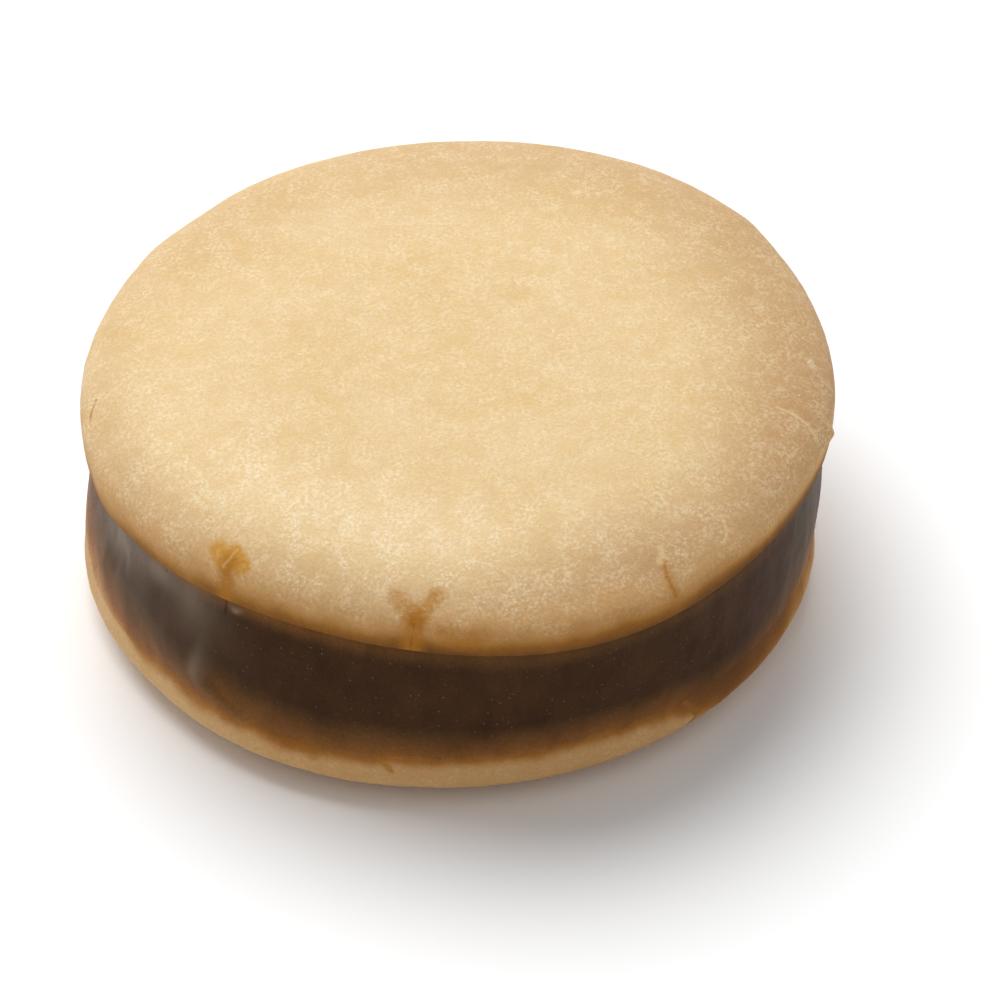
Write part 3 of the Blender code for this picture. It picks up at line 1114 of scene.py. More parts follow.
@dataclass
class TopBiscuit(Biscuit):
    """The upper biscuit: a short edge, a rounded shoulder and a flat dome with a low crown.

    Attributes:
        crown_waves: Unevenness of the crown's height.
        corners: Soft corners, dents and a lump of its rim; a level is a share of its height.
        rim_power: How quickly the rim's unevenness fades inwards.
        sugar: Little heaps of sugar grains.
        edge: Height of the short edge under the widest level, in metres.
        tuck: How far the lower rim lies inside the widest radius, in metres.
        fillet: Rounding of the lower rim, in metres.
        soak: Way in millimetres over which the soaked rim fades out.
        soak_start: Way in millimetres from the lower rim at which it starts to fade.
        most_soaked: Share of soak at the lower rim.
        toast_and_shade_end: Share of the radius at which the browner rim, partly painted shade, is at full
            strength.
        shoulder: Share of the radius with the most bloom, and shoulder_reach half the band's width.
        smooth_edge: Way in metres over which the relief sets in.
        fleck_start: Way in metres beyond which loose sugar lies.
    """

    name: str = "top_biscuit_crust"
    node: str = "top_biscuit"
    slot: str = "top_biscuit"
    waves: tuple[Wave, ...] = (Wave(2, 0.25 * MM, 85), Wave(3, 0.44 * MM, -58), Wave(4, 0.25 * MM, 26),
                               Wave(5, 0.25 * MM, -9), Wave(6, 0.10 * MM, -18))
    crown_waves: tuple[Wave, ...] = (Wave(1, 0.10 * MM, 200), Wave(2, 0.12 * MM, 60), Wave(3, 0.08 * MM, 10))
    corners: tuple[Swelling, ...] = (
        Swelling(39, 0.5, 5, 2.0, 0.26 * MM), Swelling(137, 0.5, 7, 2.0, -0.28 * MM),
        Swelling(149, 0.5, 3, 2.0, 0.10 * MM), Swelling(205, 0.2, 4, 0.6, 0.12 * MM),
        Swelling(214, 0.2, 3, 0.6, -0.12 * MM), Swelling(345.9, 0.33, 1.1, 0.09, 0.40 * MM))
    rim_power: int = 6
    sugar: tuple[SugarSpot, ...] = (SugarSpot(357.8, 5.3 * MM, 0.45 * MM, 550),
                                    SugarSpot(353.0, 4.8 * MM, 0.22 * MM, 900),
                                    SugarSpot(1.5, 5.7 * MM, 0.25 * MM, 300))
    radius: float = 31.0 * MM
    edge: float = 2.2 * MM
    tuck: float = 0.2 * MM
    fillet: float = 0.05 * MM
    dome_height: float = 4.0 * MM
    dome_power: float = 4.4
    crown_height: float = 1.0 * MM
    soak: AngleTable = AngleTable((
        (20, 2.2), (75, 2.8), (130, 2.3), (190, 3.2), (205, 4.0), (217, 4.4), (228, 4.6), (240, 4.5),
        (256, 4.2), (272, 5.2), (284, 5.6), (296, 5.7), (308, 4.8), (320, 3.6), (334, 3.3), (345, 3.0)))
    soak_start: AngleTable = AngleTable(((0, 0.25), (298, 0.25), (312, 0.55), (335, 0.55), (350, 0.25)))
    most_soaked: AngleTable = AngleTable((
        (20, 1.0), (180, 0.82), (210, 0.84), (245, 0.88), (256, 0.94), (268, 1.0), (280, 0.98),
        (296, 0.93), (312, 1.0)))
    toast_and_shade_end: float = 0.97
    shoulder: float = 0.77
    shoulder_reach: float = 0.13
    smooth_edge: float = 0.8 * MM
    fleck_start: float = 4.0 * MM

    def skin(self) -> np.ndarray:
        """Draw the visible section, from the lower rim to the crown.

        Returns:
            Radius and height of each place, one row each.
        """
        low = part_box(self.node)[0].z
        widest = low + self.edge
        foot = self.radius - self.tuck
        turn = arc_angles(FILLET_STEPS)
        fillet = zip(foot - self.fillet * (1 - np.sin(turn)), low + self.fillet * (1 - np.cos(turn)))
        turn = arc_angles(EDGE_STEPS)[1:]
        edge = zip(foot + self.tuck * np.sin(turn), widest - (self.edge - self.fillet) * np.cos(turn))
        reach = np.sin(arc_angles(DOME_STEPS)[::-1][1:])
        dome = self.dome_height * np.sqrt(1 - reach ** self.dome_power) + self.crown_height * (1 - reach ** 2)
        return evenly_spaced([*fillet, *edge, *zip(self.radius * reach, widest + dome)], self.spacing)

    def section(self) -> np.ndarray:
        """Draw the section, from the middle of the flat underside to the crown.

        Returns:
            Radius and height of each place, one row each.
        """
        skin = self.skin()
        under = [(skin[0, 0] * share, skin[0, 1]) for share in (0.0, 0.4, 0.8, 0.97)]
        return np.concatenate([under, skin])

    def ring_points(self, section: np.ndarray, angle: np.ndarray) -> np.ndarray:
        """Turn the section with the outline's waves, its corners and the crown's waves.

        Args:
            section: Radius and height of each place, one row each.
            angle: Angles round the axis, in radians.

        Returns:
            Points by place of the section, by angle and by axis.
        """
        reach = (section[:, 0] / self.radius)[:, None]
        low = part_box(self.node)[0].z
        rise = section[:, 1:] - low
        turn = angle[None, :]
        high = self.edge + self.dome_height + self.crown_height
        corners = sum(one.at(turn, rise / high) for one in self.corners)
        rim = reach ** self.rim_power
        radius = section[:, :1] + reach * waves_at(turn, self.waves) + rim * corners
        lift = RIM_LIFT.at(turn) * rim * (1 - smooth_share(rise / (self.edge + self.crown_height)))
        crown = (rise > self.edge) * waves_at(turn, self.crown_waves) * reach ** 2 * (1 - reach ** 4)
        return ring_places(self.axis.x, self.axis.y, radius, turn, section[:, 1:] + lift + crown)

    def attributes(self, section: np.ndarray, angle: np.ndarray, points: np.ndarray) -> dict[str, np.ndarray]:
        """Share out relief, browned edge with painted shade, sugar bloom, soaked rim and sugar grains.

        Args:
            section: Radius and height of each place, one row each.
            angle: Angles round the axis, in radians.
            points: Points by place of the section, by angle and by axis.

        Returns:
            Values for every point, by name.
        """
        way = way_along(section)
        way = (way - way[len(section) - len(self.skin())])[:, None] + 0 * points[:, :, 2]
        reach = (section[:, :1] / self.radius) + 0 * way
        past = (way - self.soak_start.at(angle)[None, :]) / self.soak.at(angle)[None, :]
        soak = self.most_soaked.share(angle)[None, :] * np.clip(1 - past, 0, 1)
        # Browner rim: partly real browning, partly painted shade strongest on the right, away from the lamp
        start = TOAST_AND_SHADE_START.share(angle)[None, :]
        toast_and_shade = TOAST_AND_SHADE_SHARE.share(angle)[None, :] * smooth_share((reach - start) / (self.toast_and_shade_end - start))
        near = np.exp(-((reach - self.shoulder) / self.shoulder_reach) ** 2)
        extra = EXTRA_BLOOM.share(angle)[None, :] * near
        sugar = sum(spot.at(angle[None, :], way, self.radius) for spot in self.sugar)
        return {"relief_share": smooth_share(way / self.smooth_edge), "edge_share": toast_and_shade,
                "light_share": 0.5 * extra, "bloom_share": (1 + 0.8 * extra) * (1 - 0.3 * toast_and_shade),
                "soak_share": soak, "speck_share": (way > self.fleck_start) + sugar}

    def place(self, angle: float, way: float) -> Vector:
        """Point on the skin.

        Args:
            angle: Degrees round the axis from +X.
            way: Millimetres along the section from the lower rim towards the crown.

        Returns:
            The point, in metres.
        """
        skin = self.skin()
        return self.point(angle, *[np.interp(way * MM, way_along(skin), skin[:, axis]) for axis in (0, 1)])


@dataclass
class BottomBiscuit(Biscuit):
    """The lower biscuit: a flat foot, a rounded underside and a short edge.

    Attributes:
        foot_share: Radius of the foot, as a share of the widest one.
        widest: Height of the widest level, in metres.
        underside_power: Fullness of the rounded underside.
        tuck: How far the upper rim lies inside the widest radius, in metres.
        lid_rise: How far the hidden top reaches up into the filling, in metres.
        browned: Strength of the browner edge, and brown_start the share of the radius where it starts.
        smooth_foot: Height in metres over which the relief sets in.
    """

    name: str = "bottom_biscuit_crust"
    node: str = "bottom_biscuit"
    slot: str = "bottom_biscuit"
    waves: tuple[Wave, ...] = (Wave(2, 0.10 * MM, 41), Wave(3, 0.10 * MM, -15), Wave(5, 0.12 * MM, -24),
                               Wave(6, 0.13 * MM, 1))
    radius: float = 30.4 * MM
    foot_share: float = 0.72
    widest: float = 3.5 * MM
    underside_power: float = 2.2
    tuck: float = 0.25 * MM
    lid_rise: float = 0.2 * MM
    browned: float = 0.4
    brown_start: float = 0.7
    smooth_foot: float = 0.6 * MM

    def section(self) -> np.ndarray:
        """Draw the section, from the middle of the foot to the middle of the top.

        Returns:
            Radius and height of each place, one row each.
        """
        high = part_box(self.node)[1].z
        foot = self.radius * self.foot_share
        under = evenly_spaced([(0.0, 0.0), (foot - 0.2 * MM, 0.0)], FLAT_SPACING)
        out = np.sin(arc_angles(BELLY_STEPS))
        curve = self.widest * (1 - np.sqrt(np.clip(1 - out ** self.underside_power, 0, 1)))
        belly = zip(foot + (self.radius - foot) * out, curve)
        rise = np.linspace(0.0, 1.0, EDGE_STEPS)[1:]
        edge = zip(self.radius - self.tuck * smooth_share(rise), self.widest + (high - self.widest) * rise)
        skin = evenly_spaced([*belly, *edge], self.spacing)
        inner = self.radius - self.tuck
        lid = [(inner - self.lid_rise / 2, high + self.lid_rise)]
        lid += [(inner * share, high + self.lid_rise) for share in (0.97, 0.9, 0.6, 0.3, 0.0)]
        return np.concatenate([under, skin, lid])

    def ring_points(self, section: np.ndarray, angle: np.ndarray) -> np.ndarray:
        """Turn the section with the outline's waves.

        Args:
            section: Radius and height of each place, one row each.
            angle: Angles round the axis, in radians.

        Returns:
            Points by place of the section, by angle and by axis.
        """
        turn = angle[None, :]
        radius = section[:, :1] * (1 + waves_at(turn, self.waves) / self.radius)
        return ring_places(self.axis.x, self.axis.y, radius, turn, section[:, 1:] + 0 * turn)

    def attributes(self, section: np.ndarray, angle: np.ndarray, points: np.ndarray) -> dict[str, np.ndarray]:
        """Share out relief, browned edge, soaked rim, sugar bloom and painted light on its left side.

        Args:
            section: Radius and height of each place, one row each.
            angle: Angles round the axis, in radians.
            points: Points by place of the section, by angle and by axis.

        Returns:
            Values for every point, by name.
        """
        height = points[:, :, 2]
        high = section[:, 1].max()
        reach = (section[:, :1] / self.radius) + 0 * height
        brown = (reach - self.brown_start) / (1 - self.brown_start)
        lid = height > high - 0.01 * MM
        return {"relief_share": smooth_share(height / self.smooth_foot) * ~lid,
                "edge_share": self.browned * smooth_share(brown),
                "soak_share": side_soak(angle, height), "bloom_share": 1 + 0 * height,
                # light_share here is painted light on the biscuit's left side, where the lamp falls
                "light_share": PAINTED_LIGHT_UNDER.share(angle)[None, :] + 0 * height}

    def place(self, angle: float, height: float) -> Vector:
        """Find a point on the side.

        Args:
            angle: Degrees round the axis from +X.
            height: Millimetres above the ground.

        Returns:
            The point, in metres.
        """
        section = self.section()
        order = section[(section[:, 1] > 0) & (section[:, 0] > self.radius * 0.9)]
        return self.point(angle, np.interp(height * MM, order[:, 1], order[:, 0]), height * MM)


# Heights in mm between which the side changes from clear biscuit to plain filling
CLEAR_BELOW = AngleTable(((0, 3.4), (60, 3.8), (120, 4.2), (195, 5.0), (205, 4.8), (215, 4.0), (225, 3.6),
                          (248, 3.6), (258, 4.1), (300, 4.1), (307, 3.6), (312, 1.8), (320, 0.9),
                          (332, 1.2), (345, 2.4)))
FILLED_ABOVE = AngleTable(((0, 13.0), (15, 11.0), (60, 9.6), (120, 10.4), (160, 11.0), (182, 18.0),
                           (190, 19.0), (199, 16.5), (203, 13.6), (207, 12.2), (215, 11.4), (231, 10.7),
                           (242, 9.7), (256, 9.5), (304, 9.6), (312, 8.6), (320, 8.2), (332, 10.8),
                           (345, 14.2)))
# How far the soak's tones reach plain filling at the filling's very top
RIM_STAIN = AngleTable(((20, 0.7), (160, 0.7), (180, 0.5), (205, 0.5), (222, 0.42), (242, 0.46),
                        (250, 0.58), (258, 0.68), (272, 0.76), (296, 0.78), (310, 0.78), (320, 0.76),
                        (335, 0.70), (348, 0.60)))
# Painted light: how much lighter the bottom biscuit is drawn left of the front, where the lamp falls on it
PAINTED_LIGHT_UNDER = AngleTable(((185, 0.0), (200, 0.30), (228, 0.30), (242, 0.0)))
# Painted sheen and a glint on the filling's flanks, where they catch the light; heights are shares of its
# tone
SHEEN_PATCHES = (Swelling(206, 0.82, 8, 0.20, 0.56), Swelling(219, 0.88, 7, 0.11, 0.40),
              Swelling(227, 0.78, 5, 0.20, 0.22), Swelling(212, 0.50, 14, 0.40, 0.08),
              Swelling(234.5, 0.93, 0.9, 0.03, 0.40), Swelling(341, 0.78, 8, 0.28, 0.09))


def side_soak(angle: np.ndarray, height: np.ndarray) -> np.ndarray:
    """How far the filling has soaked down the side: 0 on clear biscuit, 1 on plain filling.

    Args:
        angle: Angles in radians, along the second axis.
        height: Heights above the ground in metres.

    Returns:
        The share for each height.
    """
    clear, filled = CLEAR_BELOW.at(angle)[None, :], FILLED_ABOVE.at(angle)[None, :]
    return np.clip((height - clear) / (filled - clear), 0.0, 1.0)


@dataclass
class Filling(TurnedPiece):
    """The dulce de leche between the biscuits, with its fold and hollow left of the front.

    Attributes:
        top: The biscuit above it, and bottom the one below.
        low: Height of its visible foot, and high that of its top edge, in metres.
        foot_tuck: How far its side starts inside the bottom biscuit's outline, in metres.
        bulge: How far the middle of its side stands out, in metres.
        rounding: How far its top edge draws in, in metres, and rounding_power how suddenly.
        overlap: How far it reaches down into the bottom biscuit, in metres.
        top_overlap: How far it reaches up into the top one, in metres.
        top_step: How far its side goes on above the top edge before it draws in, in metres.
        proud: How far its very foot stands out from the bottom biscuit's edge, in metres.
        foot_level: Height of that part of the foot, in levels.
        foot_slope: How fast it draws in below the foot.
        front_setback: How far its top edge lies inside the top biscuit's rim at the front, in metres,
            as the next three fields say for the other sides.
        rim_level: Level above which the stain of the top edge is at full strength.
        rim_fade: Levels below that over which the stain fades out.
        crest_sheen: Strength of the painted sheen on the fold's crest.
        smooth_rim: Height in metres below the top edge over which the relief sets in.
        clear_rim: Height in metres below the top edge that holds no specks.
        left_power: How tightly the left setback keeps to the left, and right_power the same for the right.
        fold: The fold with its hollow.
        swellings: Wrinkles of the side.
    """

    name: str = "dulce_de_leche_filling"
    node: str = "dulce_de_leche"
    slot: str = "filling"
    top: TopBiscuit | None = None
    bottom: BottomBiscuit | None = None
    low: float = field(init=False)
    high: float = field(init=False)
    around: int = 720
    spacing: float = 0.22 * MM
    foot_tuck: float = 0.2 * MM
    bulge: float = 0.35 * MM
    rounding: float = 0.04 * MM
    rounding_power: int = 24
    overlap: float = 0.6 * MM
    top_overlap: float = 0.25 * MM
    top_step: float = 0.06 * MM
    proud: float = 0.03 * MM
    foot_level: float = 0.06
    foot_slope: float = 0.2
    front_setback: float = 0.02 * MM
    back_setback: float = 0.5 * MM
    left_setback: float = 1.6 * MM
    right_setback: float = 0.8 * MM
    rim_level: float = 0.97
    rim_fade: float = 0.13
    crest_sheen: float = 0.28
    smooth_rim: float = 0.6 * MM
    clear_rim: float = 0.5 * MM
    left_power: int = 3
    right_power: int = 5
    fold: Fold = Fold()
    swellings: tuple[Swelling, ...] = (
        Swelling(205.5, 0.80, 0.9, 0.10, -0.12 * MM), Swelling(209.5, 0.66, 0.8, 0.09, -0.12 * MM),
        Swelling(203, 0.55, 1.4, 0.30, 0.10 * MM, slant=8),
        Swelling(207, 0.55, 1.2, 0.30, -0.10 * MM, slant=8),
        Swelling(217, 0.60, 1.8, 0.30, 0.06 * MM, slant=8), Swelling(232.5, 0.88, 0.45, 0.09, -0.18 * MM),
        Swelling(234.5, 0.93, 0.7, 0.035, 0.22 * MM), Swelling(262.7, 0.85, 0.5, 0.15, -0.08 * MM))

    def __post_init__(self) -> None:
        """Take the axis and the heights of foot and top from the biscuits."""
        self.axis = self.top.axis.copy()
        self.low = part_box(self.bottom.node)[1].z
        self.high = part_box(self.top.node)[0].z

    def rim_setback(self, angle: np.ndarray) -> np.ndarray:
        """How far the filling's top edge lies inside the top biscuit's rim.

        Args:
            angle: Angles in radians.

        Returns:
            Distances in metres.
        """
        along = np.where(np.sin(angle) > 0, self.back_setback, self.front_setback)
        across = np.where(np.cos(angle) > 0, self.right_setback, self.left_setback)
        power = np.where(np.cos(angle) > 0, self.right_power, self.left_power)
        return along + (across - along) * np.abs(np.cos(angle)) ** power

    def side(self, angle: np.ndarray, level: np.ndarray) -> np.ndarray:
        """Radius of the uneven side.

        Args:
            angle: Angles in radians.
            level: Levels from 0 at its foot to 1 at its top.

        Returns:
            Radii in metres.
        """
        foot = self.bottom.outline(angle) - self.foot_tuck
        top = self.top.outline(angle) - self.top.tuck - self.rim_setback(angle)
        bulge = self.bulge * np.sin(math.pi * np.clip(level, 0, 1))
        hidden = np.maximum((level - 1) * (self.high - self.low) - self.top_step, 0)
        corner = self.rounding * np.clip(level, 0, 1) ** self.rounding_power + hidden
        flush = self.bottom.tuck - self.proud - self.foot_tuck
        flush = flush * np.exp(-(np.maximum(level, 0) / self.foot_level) ** 2)
        flush = flush + self.foot_slope * np.maximum(-level, 0) * (self.high - self.low)
        bumps = sum(one.at(angle, level) for one in self.swellings) + self.fold.at(angle, level)
        return foot + (top - foot) * level + bulge - corner - flush + bumps

    def section(self) -> np.ndarray:
        """Draw the section, from the middle of the foot to the middle of the top.

        Returns:
            Share of the radius, and height, of each place, one row each.
        """
        start, end = self.low - self.overlap, self.high + self.top_overlap
        rings = round((self.high - start) / self.spacing)
        side = [(1.0, start + (self.high - start) * ring / rings) for ring in range(rings + 1)]
        side.append((1.0, self.high + self.top_step))
        foot = [(share, start) for share in (0.0, 0.5, 0.9)]
        lid = [(share, end) for share in (0.995, 0.97, 0.9, 0.5, 0.0)]
        return np.array([*foot, *side, *lid])

    def ring_points(self, section: np.ndarray, angle: np.ndarray) -> np.ndarray:
        """Turn the section, leaning from the bottom biscuit's axis to the top one's.

        Args:
            section: Share of the radius, and height, of each place, one row each.
            angle: Angles round the axis, in radians.

        Returns:
            Points by place of the section, by angle and by axis.
        """
        level = ((section[:, 1] - self.low) / (self.high - self.low))[:, None]
        turn = angle[None, :]
        radius = section[:, :1] * self.side(turn, level)
        x = self.bottom.axis.x + (self.axis.x - self.bottom.axis.x) * level
        y = self.bottom.axis.y + (self.axis.y - self.bottom.axis.y) * level
        lift = RIM_LIFT.at(turn) * (section[:, :1] * np.clip(level, 0, 1)) ** self.top.rim_power
        return ring_places(x, y, radius, turn, section[:, 1:] + lift)

    def attributes(self, section: np.ndarray, angle: np.ndarray, points: np.ndarray) -> dict[str, np.ndarray]:
        """Share out relief, painted sheen, soaked foot and pale specks.

        Args:
            section: Share of the radius, and height, of each place, one row each.
            angle: Angles round the axis, in radians.
            points: Points by place of the section, by angle and by axis.

        Returns:
            Values for every point, by name.
        """
        height = section[:, 1:] + 0 * points[:, :, 2]
        level = (height - self.low) / (self.high - self.low)
        side = (section[:, :1] > 0.99) + 0 * height
        turn = angle[None, :]
        stain = RIM_STAIN.share(turn)
        rim = stain + (1 - stain) * smooth_share((self.rim_level - level) / self.rim_fade)
        # Painted sheen and a glint on the flanks, and painted sheen along the fold's crest
        sheen = sum(one.at(turn, level) for one in SHEEN_PATCHES)
        sheen = sheen + self.crest_sheen * self.fold.crest_share(turn, level)
        return {"relief_share": side * smooth_share((self.high - height) / self.smooth_rim),
                "haze_share": sheen, "soak_share": np.minimum(side_soak(angle, height), rim),
                "speck_share": side * (height < self.high - self.clear_rim)}

    def place(self, angle: float, level: float) -> Vector:
        """Point on the side, at degrees round the axis and a level from 0 to 1."""
        return self.point(angle, 1.0, self.low + (self.high - self.low) * level)


# Stains, cracks and scratches at the places where the photograph shows them
TOP_MARKS = (
    Mark("left wing of the amber stain", ((230.4, 4.2), (231.5, 3.9), (232.6, 3.4)),
         0.35, 0.85, Tone.STAIN_AMBER, 0.85),
    Mark("right wing of the amber stain", ((233.2, 4.5), (234.2, 4.1), (235.3, 3.7)),
         0.35, 0.75, Tone.STAIN_AMBER, 0.9),
    Mark("stem of the amber stain", ((233.2, 3.7), (233.4, 2.2), (232.8, 0.2)),
         0.15, 1.10, Tone.STAIN_BROWN, 0.8),
    Mark("scratch in the amber stain", ((233.3, 4.7), (233.0, 4.0), (232.5, 3.2)),
         0.02, 0.20, Tone.SCRATCH, 0.27),
    Mark("left arm of the forked stain", ((260.6, 4.7), (262.0, 4.2), (263.4, 3.4)),
         0.20, 1.10, Tone.STAIN_ORANGE, 0.60),
    Mark("right arm of the forked stain", ((266.4, 5.4), (265.4, 4.5), (263.8, 3.4)),
         0.20, 1.00, Tone.STAIN_ORANGE, 0.68),
    Mark("stem of the forked stain", ((263.6, 3.2), (263.3, 1.8), (262.9, 0.2)),
         0.20, 1.30, Tone.STAIN_BROWN, 0.78),
    Mark("crack in the forked stain", ((263.5, 3.0), (263.1, 1.5), (262.9, 0.2)),
         0.04, 0.12, Tone.CRACK, 0.7),
    Mark("patch beside the fork", ((267.8, 2.5), (270.0, 1.8), (272.5, 2.3)),
         0.10, 1.50, Tone.STAIN_BROWN, 0.6),
    Mark("crack right of the front", ((302.3, 5.3), (301.6, 4.3), (301.6, 3.2), (301.9, 2.2)),
         0.04, 0.24, Tone.STAIN_ORANGE, 0.72),
    Mark("stain round that crack", ((302.2, 4.9), (301.7, 3.6), (302.2, 1.2)),
         0.10, 0.75, Tone.STAIN_BROWN, 0.32),
    Mark("crack at the left rim", ((189.3, 4.6), (191.0, 4.1), (192.8, 3.7)),
         0.05, 0.15, Tone.CRACK, 0.6),
    Mark("left wrinkle of the glaze", ((188.2, 6.9), (189.0, 6.1), (190.0, 5.4)),
         0.03, 0.18, Tone.SCRATCH, 0.45),
    Mark("second left wrinkle", ((198.5, 7.9), (199.2, 6.6)),
         0.03, 0.12, Tone.SCRATCH, 0.45),
    Mark("right wrinkle of the glaze", ((343.5, 7.6), (343.6, 6.3), (343.3, 5.2), (342.4, 4.2), (341.5, 3.4)),
         0.03, 0.20, Tone.SCRATCH, 0.45),
    Mark("dusting at the right rim", ((358.6, 5.4), (357.2, 5.2)),
         0.0, 0.60, Tone.BLOOM, 0.26),
    Mark("short right wrinkle", ((315.3, 5.5), (314.8, 4.65), (313.0, 4.0)),
         0.03, 0.20, Tone.SCRATCH, 0.42),
    Mark("pale crust above the right crack", ((303.0, 6.3), (302.5, 5.7), (301.6, 5.4)),
         0.08, 0.40, Tone.SCRATCH, 0.42),
)
BOTTOM_MARKS = (
    Mark("crack right of the front", ((308.3, 6.0), (309.2, 5.2), (310.6, 4.1), (311.2, 3.3), (309.8, 2.5)),
         0.06, 0.32, Tone.SIDE_ORANGE, 0.90),
    Mark("crack at the front", ((259.5, 5.5), (260.2, 5.0), (261.4, 4.3)),
         0.10, 0.25, Tone.STAIN_BROWN, 0.75),
    Mark("brown patch left of the front", ((245.5, 5.4), (249.5, 4.8)),
         0.30, 0.75, Tone.CRACK, 0.45),
)
FILLING_MARKS = (
    Mark("crack at the left", ((203.2, 0.56), (201.0, 0.40), (199.0, 0.25), (196.5, 0.10)),
         0.03, 0.15, Tone.SIDE_BROWN, 0.5),
    Mark("crack under the amber stain", ((232.4, 0.99), (232.5, 0.84)),
         0.01, 0.16, Tone.CARAMEL_DARK, 0.45),
)


@dataclass
class Studio:
    """The plain pale floor, the soft light and the camera at the photograph's angle."""

    floor_reach: float = 3.0
    floor_roughness: float = 0.9
    floor_gloss: float = 0.1
    elevation: float = 41.12
    distance: float = 0.400
    aside: float = 3.12 * MM
    rise: float = 4.87 * MM
    roll: float = -0.23
    focal_pixels: float = 4739.0
    image_width: float = 1000.0
    sensor: float = 36.0
    sky: float = 0.465
    key_irradiance: float = 2.95
    key_azimuth: float = 120.0
    key_elevation: float = 63.0
    key_distance: float = 1.2
    key_spread: float = 50.0
    clip: tuple[float, float] = (0.01, 20.0)

    def floor(self) -> None:
        """Lay a wide, plain white sheet under the part."""
        mesh = bpy.data.meshes.new("floor")
        shape = bmesh.new()
        bmesh.ops.create_grid(shape, x_segments=1, y_segments=1, size=self.floor_reach)
        shape.to_mesh(mesh)
        shape.free()
        sheet = add_object("floor", mesh)
        material, _, shader = new_material("matt_white_paper")
        shader.inputs["Base Color"].default_value = Tone.PAPER.linear()
        shader.inputs["Roughness"].default_value = self.floor_roughness
        shader.inputs["Specular IOR Level"].default_value = self.floor_gloss
        mesh.materials.append(material)

    def light(self) -> None:
        """Light the part with an even sky and a large soft lamp from behind on the left."""
        world = bpy.data.worlds.new("white_room")
        world.use_nodes = True
        world.node_tree.nodes["Background"].inputs["Color"].default_value = (1.0, 1.0, 1.0, 1.0)
        world.node_tree.nodes["Background"].inputs["Strength"].default_value = self.sky
        bpy.context.scene.world = world
        lamp = bpy.data.lights.new("soft_key", "AREA")
        lamp.shape = "DISK"
        lamp.size = 2 * self.key_distance * math.tan(math.radians(self.key_spread / 2))
        lamp.energy = math.pi * self.key_distance ** 2 * self.key_irradiance
        turn, lift = math.radians(self.key_azimuth), math.radians(self.key_elevation)
        way = Vector((math.cos(turn) * math.cos(lift), math.sin(turn) * math.cos(lift), math.sin(lift)))
        holder = bpy.data.objects.new("soft_key", lamp)
        holder.location = way * self.key_distance
        holder.rotation_euler = way.to_track_quat("Z", "Y").to_euler()
        bpy.context.scene.collection.objects.link(holder)

    def camera(self, aim: Vector) -> None:
        """Set the camera at the photograph's distance, elevation and framing.

        Args:
            aim: Point on the ground under the top biscuit's axis.
        """
        lift = math.radians(self.elevation)
        back = Vector((0.0, -math.cos(lift), math.sin(lift)))
        up = Vector((0.0, math.sin(lift), math.cos(lift)))
        eye = bpy.data.cameras.new("camera")
        eye.sensor_width = self.sensor
        eye.lens = self.sensor * self.focal_pixels / self.image_width
        eye.clip_start, eye.clip_end = self.clip
        holder = bpy.data.objects.new("camera", eye)
        holder.location = aim + Vector((self.aside, 0.0, 0.0)) + up * self.rise + back * self.distance
        tilt = Euler((math.pi / 2 - lift, 0.0, 0.0)).to_matrix()
        roll = Euler((0.0, 0.0, math.radians(self.roll))).to_matrix()
        holder.rotation_euler = (tilt @ roll).to_euler()
        bpy.context.scene.collection.objects.link(holder)
        bpy.context.scene.camera = holder


# Inputs of the trees for each piece that they work on
TOP_RELIEF = {"Broad Height": 0.05 * MM, "Broad Size": 9.0 * MM, "Fine Height": 0.03 * MM,
              "Fine Size": 1.8 * MM, "Upright Stretch": 1.0, "Seed": 3.0}
SIDE_RELIEF = {"Broad Height": 0.09 * MM, "Broad Size": 7.0 * MM, "Fine Height": 0.02 * MM,
               "Fine Size": 1.8 * MM, "Upright Stretch": 1.5, "Seed": 11.0}
SUGAR_GRAINS = {"Density": 0.05e6, "Smallest": 0.03 * MM, "Largest": 0.07 * MM, "Flatness": 0.4, "Seed": 5}
MILK_GRAINS = {"Density": 0.75e6, "Smallest": 0.02 * MM, "Largest": 0.10 * MM, "Flatness": 0.25, "Seed": 8}


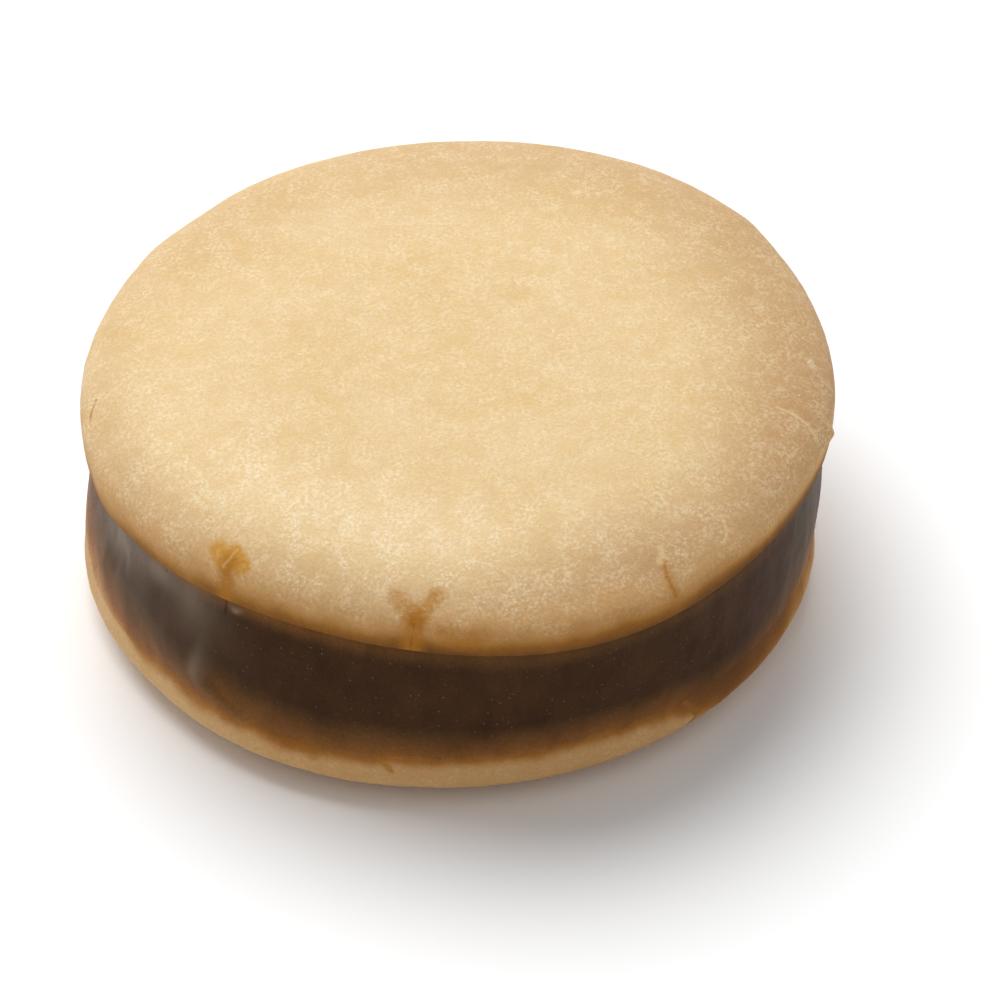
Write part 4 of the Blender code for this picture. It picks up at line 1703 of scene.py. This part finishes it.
def scattered(source: TurnedPiece, name: str, finish: GrainFinish, values: dict[str, Any],
              shaper: ScatterShaper) -> bpy.types.Object:
    """Scatter grains over a finished piece and keep them as one piece of their own.

    Args:
        source: Piece whose surface carries them.
        name: Name of the new piece.
        finish: Their finish.
        values: Inputs of the scatter tree.
        shaper: The scatter tree.

    Returns:
        The new piece.
    """
    grains = add_object(name, source.piece.data.copy())
    shaper.run(grains, {**values, "Material": finish.material()})
    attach(grains, BODY)
    return grains


def report(piece: bpy.types.Object) -> None:
    """Log a piece's name and size.

    Args:
        piece: The finished piece.
    """
    piece.data.calc_loop_triangles()
    size = " x ".join(f"{side / MM:.1f}" for side in piece.dimensions)
    LOG.info("%s: %d triangles, %s mm", piece.name, len(piece.data.loop_triangles), size)


def main() -> None:
    """Build the alfajor, its surroundings and its camera."""
    logging.basicConfig(level=logging.INFO, format="%(name)s: %(message)s")
    bpy.context.scene.view_settings.view_transform = "Standard"
    top, bottom = TopBiscuit(), BottomBiscuit()
    filling = Filling(top=top, bottom=bottom)
    relief, scatter = ReliefShaper(), ScatterShaper()

    crust = BiscuitFinish("glazed_pale_biscuit", Tone.CRUST, Tone.CRUST_DEEP, Tone.CRUST_EDGE, RIM_SOAK)
    under = BiscuitFinish("glazed_tan_biscuit", Tone.UNDER_CRUST, Tone.UNDER_EDGE, Tone.SIDE_CLEAR, SIDE_SOAK,
                          soak_blend=0.22, bloom_strength=0.16, bloom_fade=(0.0, 0.28))
    for part, finish, marks, bumps in ((top, crust, TOP_MARKS, TOP_RELIEF),
                                       (bottom, under, BOTTOM_MARKS, SIDE_RELIEF),
                                       (filling, CaramelFinish(), FILLING_MARKS, SIDE_RELIEF)):
        part.build()
        part.dress(finish, marks, bumps, relief)
        report(part.piece)
    flecks = GrainFinish("sugar_crystals", Tone.FLECK, Tone.BLOOM, 0.4, glow=0.3)
    report(scattered(top, "sugar_flecks", flecks, SUGAR_GRAINS, scatter))
    specks = GrainFinish("pale_milk_specks", Tone.SPECK, Tone.SPECK_WARM, 0.6)
    report(scattered(filling, "filling_specks", specks, MILK_GRAINS, scatter))

    studio = Studio()
    studio.floor()
    studio.light()
    studio.camera(top.axis)


if __name__ == "__main__":
    main()
